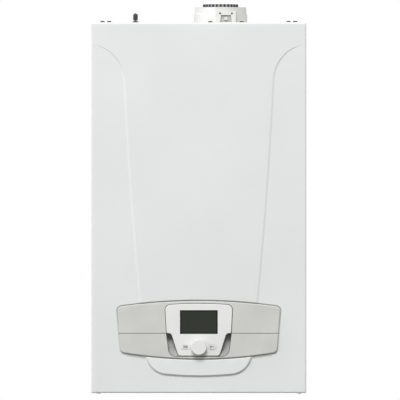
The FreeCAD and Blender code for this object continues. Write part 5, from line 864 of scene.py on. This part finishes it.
def dial_scale(tree, where):
    """One on the ticks of the gauge's dial and nought elsewhere: even steps of angle about the needle's pin
    over three quarters of a turn, between two radii."""
    low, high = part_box("pressure_gauge")
    parts = node(tree, "ShaderNodeSeparateXYZ", ("Vector", where))
    x = arithmetic(tree, "SUBTRACT", parts.outputs["X"], (low.x + high.x) / 2)
    y = arithmetic(tree, "SUBTRACT", parts.outputs["Y"], (low.y + high.y) / 2)
    square = arithmetic(tree, "ADD", arithmetic(tree, "MULTIPLY", x, x), arithmetic(tree, "MULTIPLY", y, y))
    radius = arithmetic(tree, "SQRT", square, 0.0)
    steps = arithmetic(tree, "MULTIPLY", arithmetic(tree, "ARCTAN2", y, x), DIAL_TICKS / (2 * math.pi))
    share = arithmetic(tree, "FRACT", arithmetic(tree, "ADD", steps, 0.5), 0.0)
    off = arithmetic(tree, "ABSOLUTE", arithmetic(tree, "SUBTRACT", share, 0.5), 0.0)
    tick = arithmetic(tree, "LESS_THAN", off, DIAL_TICK_SHARE)
    ring = arithmetic(tree, "GREATER_THAN", radius, DIAL_SCALE[0])
    ring = arithmetic(tree, "MULTIPLY", ring, arithmetic(tree, "LESS_THAN", radius, DIAL_SCALE[1]))
    left = arithmetic(tree, "LESS_THAN", x, DIAL_END)
    sweep = arithmetic(tree, "MAXIMUM", left, arithmetic(tree, "GREATER_THAN", y, -DIAL_END))
    return arithmetic(tree, "MULTIPLY", tick, arithmetic(tree, "MULTIPLY", ring, sweep))


def stoved(name, base, rough=0.36):
    """Stoved enamel on steel: a slow ripple of the coat, faint drift of colour and a clear gloss."""
    material, tree, shader, where = blank(name)
    drift = mixed(tree, noise(tree, where, 5.0, 2.0), shade(base, 0.985), shade(base, 1.015))
    feed(tree, shader, "Base Color", drift)
    feed(tree, shader, "Roughness", spread(tree, noise(tree, where, 35.0), rough - 0.05, rough + 0.05))
    bumped(tree, shader, noise(tree, where, 420.0, 2.0), 0.02 * MM, 0.25)
    shader.inputs["Specular IOR Level"].default_value = 0.45
    return material


def metal(name, base, rough, stain, grain, stretch):
    """Bare metal: cloudy stain, uneven polish and a fine relief, drawn out where it is brushed."""
    material, tree, shader, where = blank(name)
    cloud = noise(tree, where, 22.0, 4.0)
    feed(tree, shader, "Base Color", mixed(tree, cloud, stain + (1.0,), shade(base, 1.0)))
    relief = noise(tree, where, grain, 3.0, stretch)
    feed(tree, shader, "Roughness", spread(tree, relief, rough - 0.1, rough + 0.14))
    bumped(tree, shader, relief, 0.05 * MM, 0.5)
    shader.inputs["Metallic"].default_value = 1.0
    return material


def galvanised(name, base):
    """Galvanised sheet: crystals of zinc as cells of differing tone and polish."""
    material, tree, shader, where = blank(name)
    cells = node(tree, "ShaderNodeTexVoronoi", ("Vector", where), Scale=95.0)
    tone = node(tree, "ShaderNodeSeparateColor", ("Color", cells.outputs["Color"])).outputs["Red"]
    feed(tree, shader, "Base Color", mixed(tree, tone, shade(base, 0.84), shade(base, 1.08), 0.0, 1.0))
    feed(tree, shader, "Roughness", spread(tree, tone, 0.34, 0.52))
    bumped(tree, shader, noise(tree, where, 160.0), 0.03 * MM, 0.4)
    shader.inputs["Metallic"].default_value = 1.0
    return material


def circuit(name, base):
    """Circuit board: solder mask with paler tracks as the joints of offset bricks, and tinned pads."""
    material, tree, shader, where = blank(name)
    tracks = node(
        tree, "ShaderNodeTexBrick", ("Vector", turned_upright(tree, where)), Scale=55.0, Mortar_Size=0.03,
        Color1=shade(base, 1.0), Color2=shade(base, 0.8), Mortar=shade(base, 1.7),
    )
    pads = node(tree, "ShaderNodeTexVoronoi", ("Vector", where), Scale=170.0).outputs["Distance"]
    on_pad = arithmetic(tree, "LESS_THAN", pads, PAD_SHARE)
    tin = node(tree, "ShaderNodeMix", ("Factor", on_pad), data_type="RGBA")
    tree.links.new(tracks.outputs["Color"], tin.inputs["A"])
    tin.inputs["B"].default_value = PAD_TIN
    feed(tree, shader, "Base Color", tin.outputs["Result"])
    shader.inputs["Roughness"].default_value = 0.35
    bumped(tree, shader, tracks.outputs["Fac"], 0.05 * MM, 0.4)
    return material


def ribbed(name, base, pale):
    """Two-tone seal: pale where it is nearer to the flue's axis than its ribs are, and black on them."""
    material, tree, shader, where = blank(name)
    axis = node(tree, "ShaderNodeVectorMath", (0, where), operation="SUBTRACT")
    axis.inputs[1].default_value = (FLUE_X, FLUE_Y, 0.0)
    flat = node(tree, "ShaderNodeVectorMath", (0, axis.outputs[0]), operation="MULTIPLY")
    flat.inputs[1].default_value = (1.0, 1.0, 0.0)
    radius = node(tree, "ShaderNodeVectorMath", (0, flat.outputs[0]), operation="LENGTH").outputs["Value"]
    share = share_of(tree, radius, SEAL_RADIUS, SEAL_RADIUS + SEAL_FADE)
    feed(tree, shader, "Base Color", mixed(tree, share, shade(pale, 1.0), shade(base, 1.0)))
    feed(tree, shader, "Roughness", spread(tree, noise(tree, where, 300.0), 0.6, 0.75))
    bumped(tree, shader, noise(tree, where, 700.0, 2.0), 0.05 * MM, 0.4)
    return material


def crystal(name, base, window):
    """Unlit liquid crystal glass: a fine lattice of dots under a dark, slightly cloudy face, with a black
    border inside the window that it fills, which is painted shade of the window's reveal."""
    material, tree, shader, where = blank(name)
    parts = node(tree, "ShaderNodeSeparateXYZ", ("Vector", where))
    low, high = window
    inside = None
    for axis, start, end in (("X", low[0], high[0]), ("Z", low[1], high[1])):
        off = arithmetic(tree, "SUBTRACT", parts.outputs[axis], (start + end) / 2)
        left = arithmetic(tree, "SUBTRACT", (end - start) / 2, arithmetic(tree, "ABSOLUTE", off, 0.0))
        inside = left if inside is None else arithmetic(tree, "MINIMUM", inside, left)
    # Painted shade: black near the window's edge, where its reveal would shade the glass.
    edge = share_of(tree, inside, DISPLAY_SHADE_WIDTH * 0.95, DISPLAY_SHADE_WIDTH)
    dots = node(
        tree, "ShaderNodeTexBrick", ("Vector", turned_upright(tree, where)), offset=0.0,
        Scale=900.0, Brick_Width=0.5, Row_Height=0.5,
        Color1=shade(base, 1.0), Color2=shade(base, 1.04), Mortar=shade(base, 0.85),
    )
    glass = node(tree, "ShaderNodeMix", ("Factor", edge), data_type="RGBA")
    glass.inputs["A"].default_value = DISPLAY_PAINTED_SHADE
    tree.links.new(dots.outputs["Color"], glass.inputs["B"])
    feed(tree, shader, "Base Color", glass.outputs["Result"])
    feed(tree, shader, "Roughness", spread(tree, noise(tree, where, 40.0), 0.30, 0.38))
    shader.inputs["Specular IOR Level"].default_value = 0.12
    return material


PLASTICS = {
    "black_plastic": ((0.035, 0.035, 0.037), 0.45),
    "grey_trap_plastic": ((0.42, 0.43, 0.44), 0.42),
    "red_plastic": ((0.55, 0.03, 0.02), 0.38),
    "blue_plastic": ((0.03, 0.12, 0.42), 0.38),
    "gauge_black": ((0.05, 0.05, 0.055), 0.4),
    "white_ceramic": ((0.82, 0.81, 0.77), 0.25),
    "label_paper": ((0.74, 0.74, 0.735), 0.55),
}
METALS = {
    "zinc_screws": ((0.60, 0.60, 0.61), 0.38, (0.50, 0.50, 0.50), 260.0, None),
    "black_zinc": ((0.085, 0.085, 0.088), 0.42, (0.06, 0.06, 0.062), 260.0, None),
    "dark_steel": ((0.20, 0.19, 0.18), 0.40, (0.13, 0.12, 0.11), 240.0, None),
    "brass": ((0.74, 0.55, 0.26), 0.34, (0.62, 0.43, 0.19), 240.0, None),
    "copper": ((0.78, 0.42, 0.27), 0.33, (0.60, 0.29, 0.18), 150.0, None),
    "stainless_steel": ((0.66, 0.66, 0.65), 0.34, (0.58, 0.57, 0.55), 90.0, (1.0, 1.0, 14.0)),
    "cast_aluminium": ((0.66, 0.67, 0.68), 0.52, (0.54, 0.55, 0.56), 420.0, None),
}
OWN_FINISH = {
    "flue_seal": "seal_rubber",
    "flue_adaptor": "adaptor_plastic_painted_shade",
    "unit_cradle": "cradle_plastic_painted_shade",
    "fixing_screws": "black_zinc",
    "vessel_valve": "dark_steel",
}


class BOILER_OT_finishes(bpy.types.Operator):
    """Make the finishes and put them on the pieces of the frame"""

    bl_idname = "boiler.finishes"
    bl_label = "Finishes"

    def execute(self, context):
        c = context.scene.boiler_colours
        stoved("white_enamel", tuple(c.enamel))
        stoved("red_steel", (0.42, 0.03, 0.025), 0.4)
        galvanised("galvanised_steel", (0.66, 0.67, 0.68))
        moulded("grey_plastic", tuple(c.fascia), 0.5)
        moulded("white_plastic", tuple(c.unit), 0.42, drift=0.015)
        moulded("black_rubber", (0.022, 0.022, 0.022), 0.7, 700.0, 0.05 * MM)
        moulded("cast_iron", (0.10, 0.10, 0.11), 0.6, 500.0, 0.25 * MM)
        moulded("mark_ink", tuple(c.mark), 0.6)
        circuit("circuit_green", (0.02, 0.16, 0.07))
        low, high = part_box("display")
        window = (low.x, low.z), (high.x, high.z)
        crystal("display_dark", tuple(c.glass), window)
        ribbed("seal_rubber", (0.008, 0.008, 0.008), (0.36, 0.35, 0.355))
        # The adaptor's test pocket gets painted shade on its floor, at 0.70 of the base colour.
        moulded("adaptor_plastic_painted_shade", tuple(c.adaptor), 0.5, print_and_painted_shade=painted_pocket_shade)
        # Painted shade: the cradle's darker grey stands in for the shade in its finger scoops.
        moulded("cradle_plastic_painted_shade", tuple(c.cradle), 0.5)
        moulded("dial_print", (0.74, 0.74, 0.72), 0.45, print_and_painted_shade=dial_scale, print_and_shade_darkness=0.05)
        for name, values in PLASTICS.items():
            moulded(name, *values)
        for name, values in METALS.items():
            metal(name, *values)
        for row in frame["record"]["subparts"]:
            name = OWN_FINISH.get(row["node"], row["material_slot"])
            for holder in frame["nodes"][row["node"]].material_slots:
                holder.material = finish(name)
        return {"FINISHED"}


# Stage

FLOOR_REACH = 30.0
KEY_SIZE = 3.8
KEY_AT = (-0.8, -7.2, 5.6)
SIDE_SIZE = 3.4
SIDE_AT = (-5.0, -3.6, 0.4)
REAR_SIZE = 3.0
REAR_AT = (5.0, 2.2, 1.4)
CAMERA_X = 0.0024
CAMERA_Z = -0.3238
SENSOR_WIDTH = 36.0
WHITE = (1.0, 1.0, 1.0, 1.0)


def area_lamp(name, power, size, at, towards):
    """A square soft lamp aimed at a point."""
    data = bpy.data.lights.new(name, "AREA")
    data.energy = power
    data.size = size
    lamp = bpy.data.objects.new(name, data)
    bpy.context.scene.collection.objects.link(lamp)
    lamp.location = at
    direction = np.asarray(towards, float) - np.asarray(at, float)
    lamp.rotation_euler = Vector(direction).to_track_quat("-Z", "Y").to_euler()


def seen_directly(tree):
    """One for what the camera sees, also in a mirror or through glass, and nought for light that is
    scattered onto the object."""
    ray = tree.nodes.new("ShaderNodeLightPath")
    total = ray.outputs["Is Camera Ray"]
    for other in ("Is Glossy Ray", "Is Transmission Ray"):
        total = arithmetic(tree, "MAXIMUM", total, ray.outputs[other])
    return total


def studio_world(s):
    """A pale studio: white where it is seen or mirrored, and softer light from below than above."""
    world = bpy.data.worlds.new("studio")
    bpy.context.scene.world = world
    world.use_nodes = True
    tree = world.node_tree
    tree.nodes.clear()
    way = tree.nodes.new("ShaderNodeTexCoord").outputs["Generated"]
    height = node(tree, "ShaderNodeSeparateXYZ", ("Vector", way)).outputs["Z"]
    fall = node(
        tree, "ShaderNodeMapRange", ("Value", height), From_Min=-1.0, To_Min=s.ground, To_Max=s.sky
    )
    lit = node(tree, "ShaderNodeBackground", ("Strength", fall.outputs["Result"]), Color=WHITE)
    seen = node(tree, "ShaderNodeBackground", Strength=1.0, Color=WHITE)
    chosen = seen_directly(tree)
    both = node(tree, "ShaderNodeMixShader", (0, chosen), (1, lit.outputs[0]), (2, seen.outputs[0]))
    out = tree.nodes.new("ShaderNodeOutputWorld")
    tree.links.new(both.outputs[0], out.inputs["Surface"])


def floor_paint(s):
    """Pale paint, faintly cloudy. It gives back less light than it shows, and is clear from below."""
    material, tree, shader, where = blank("floor_paint")
    base = (s.floor,) * 3
    pale = mixed(tree, noise(tree, where, 1.5), shade(base, 0.98), shade(base, 1.02))
    paint = node(tree, "ShaderNodeMix", ("Factor", seen_directly(tree)), data_type="RGBA")
    paint.inputs["A"].default_value = (s.bounce, s.bounce, s.bounce, 1.0)
    tree.links.new(pale, paint.inputs["B"])
    feed(tree, shader, "Base Color", paint.outputs["Result"])
    shader.inputs["Roughness"].default_value = 0.9
    below = tree.nodes.new("ShaderNodeNewGeometry").outputs["Backfacing"]
    clear = tree.nodes.new("ShaderNodeBsdfTransparent")
    both = node(tree, "ShaderNodeMixShader", (0, below), (1, shader.outputs[0]), (2, clear.outputs[0]))
    tree.links.new(both.outputs[0], tree.nodes["Material Output"].inputs["Surface"])
    return material


class BOILER_OT_stage(bpy.types.Operator):
    """Set up the floor, the light and the camera"""

    bl_idname = "boiler.stage"
    bl_label = "Stage"

    def execute(self, context):
        s = context.scene.boiler_stage
        scene = context.scene
        scene.view_settings.view_transform = "Standard"
        studio_world(s)
        reach = np.linspace(-FLOOR_REACH, FLOOR_REACH, 9)
        x, y = np.meshgrid(reach, reach)
        grid = np.stack([x, y, np.full_like(x, COVER_LOW.z - s.hang)], axis=-1)
        floor = mesh_object("studio_floor", *joined([grid]))
        floor.data.materials.append(floor_paint(s))
        middle = (0.0, COVER_LOW.y / 2, (COVER_LOW.z + COVER_HIGH.z) / 2)
        area_lamp("key_lamp", s.key, KEY_SIZE, KEY_AT, middle)
        area_lamp("side_lamp", s.side, SIDE_SIZE, SIDE_AT, middle)
        for name, side in (("left_rear_lamp", -1.0), ("right_rear_lamp", 1.0)):
            area_lamp(name, s.rear, REAR_SIZE, (side * REAR_AT[0], *REAR_AT[1:]), middle)
        data = bpy.data.cameras.new("photo_camera")
        data.lens = s.lens
        data.sensor_width = SENSOR_WIDTH
        camera = bpy.data.objects.new("photo_camera", data)
        scene.collection.objects.link(camera)
        camera.location = (CAMERA_X, COVER_LOW.y - s.distance, CAMERA_Z)
        camera.rotation_euler = (math.pi / 2, 0.0, 0.0)
        scene.camera = camera
        return {"FINISHED"}


STEPS = (
    BOILER_OT_finishes,
    BOILER_OT_front_cover,
    BOILER_OT_opening_shade_strip,
    BOILER_OT_flue_label,
    BOILER_OT_cap_tip,
    BOILER_OT_gauge_dial,
    BOILER_OT_button_marks,
    BOILER_OT_stage,
)
GROUPS = {
    "boiler_cover": BoilerCoverSettings,
    "boiler_colours": BoilerColours,
    "boiler_stage": BoilerStageSettings,
}


class BOILER_PT_panel(bpy.types.Panel):
    """Lists the steps in the sidebar"""

    bl_idname = "BOILER_PT_panel"
    bl_label = "Boiler"
    bl_space_type = "VIEW_3D"
    bl_region_type = "UI"
    bl_category = "Boiler"

    def draw(self, context):
        for step in STEPS:
            self.layout.operator(step.bl_idname)


def register():
    for name, group in GROUPS.items():
        bpy.utils.register_class(group)
        setattr(bpy.types.Scene, name, PointerProperty(type=group))
    for step in (*STEPS, BOILER_PT_panel):
        bpy.utils.register_class(step)


def unregister():
    for step in (BOILER_PT_panel, *reversed(STEPS)):
        bpy.utils.unregister_class(step)
    for name, group in reversed(GROUPS.items()):
        delattr(bpy.types.Scene, name)
        bpy.utils.unregister_class(group)


def main():
    register()
    bpy.ops.boiler.finishes()
    bpy.ops.boiler.front_cover()
    bpy.ops.boiler.opening_trim()
    bpy.ops.boiler.flue_label()
    bpy.ops.boiler.cap_tip()
    bpy.ops.boiler.gauge_dial()
    bpy.ops.boiler.button_marks()
    bpy.ops.boiler.stage()


if __name__ == "__main__":
    main()
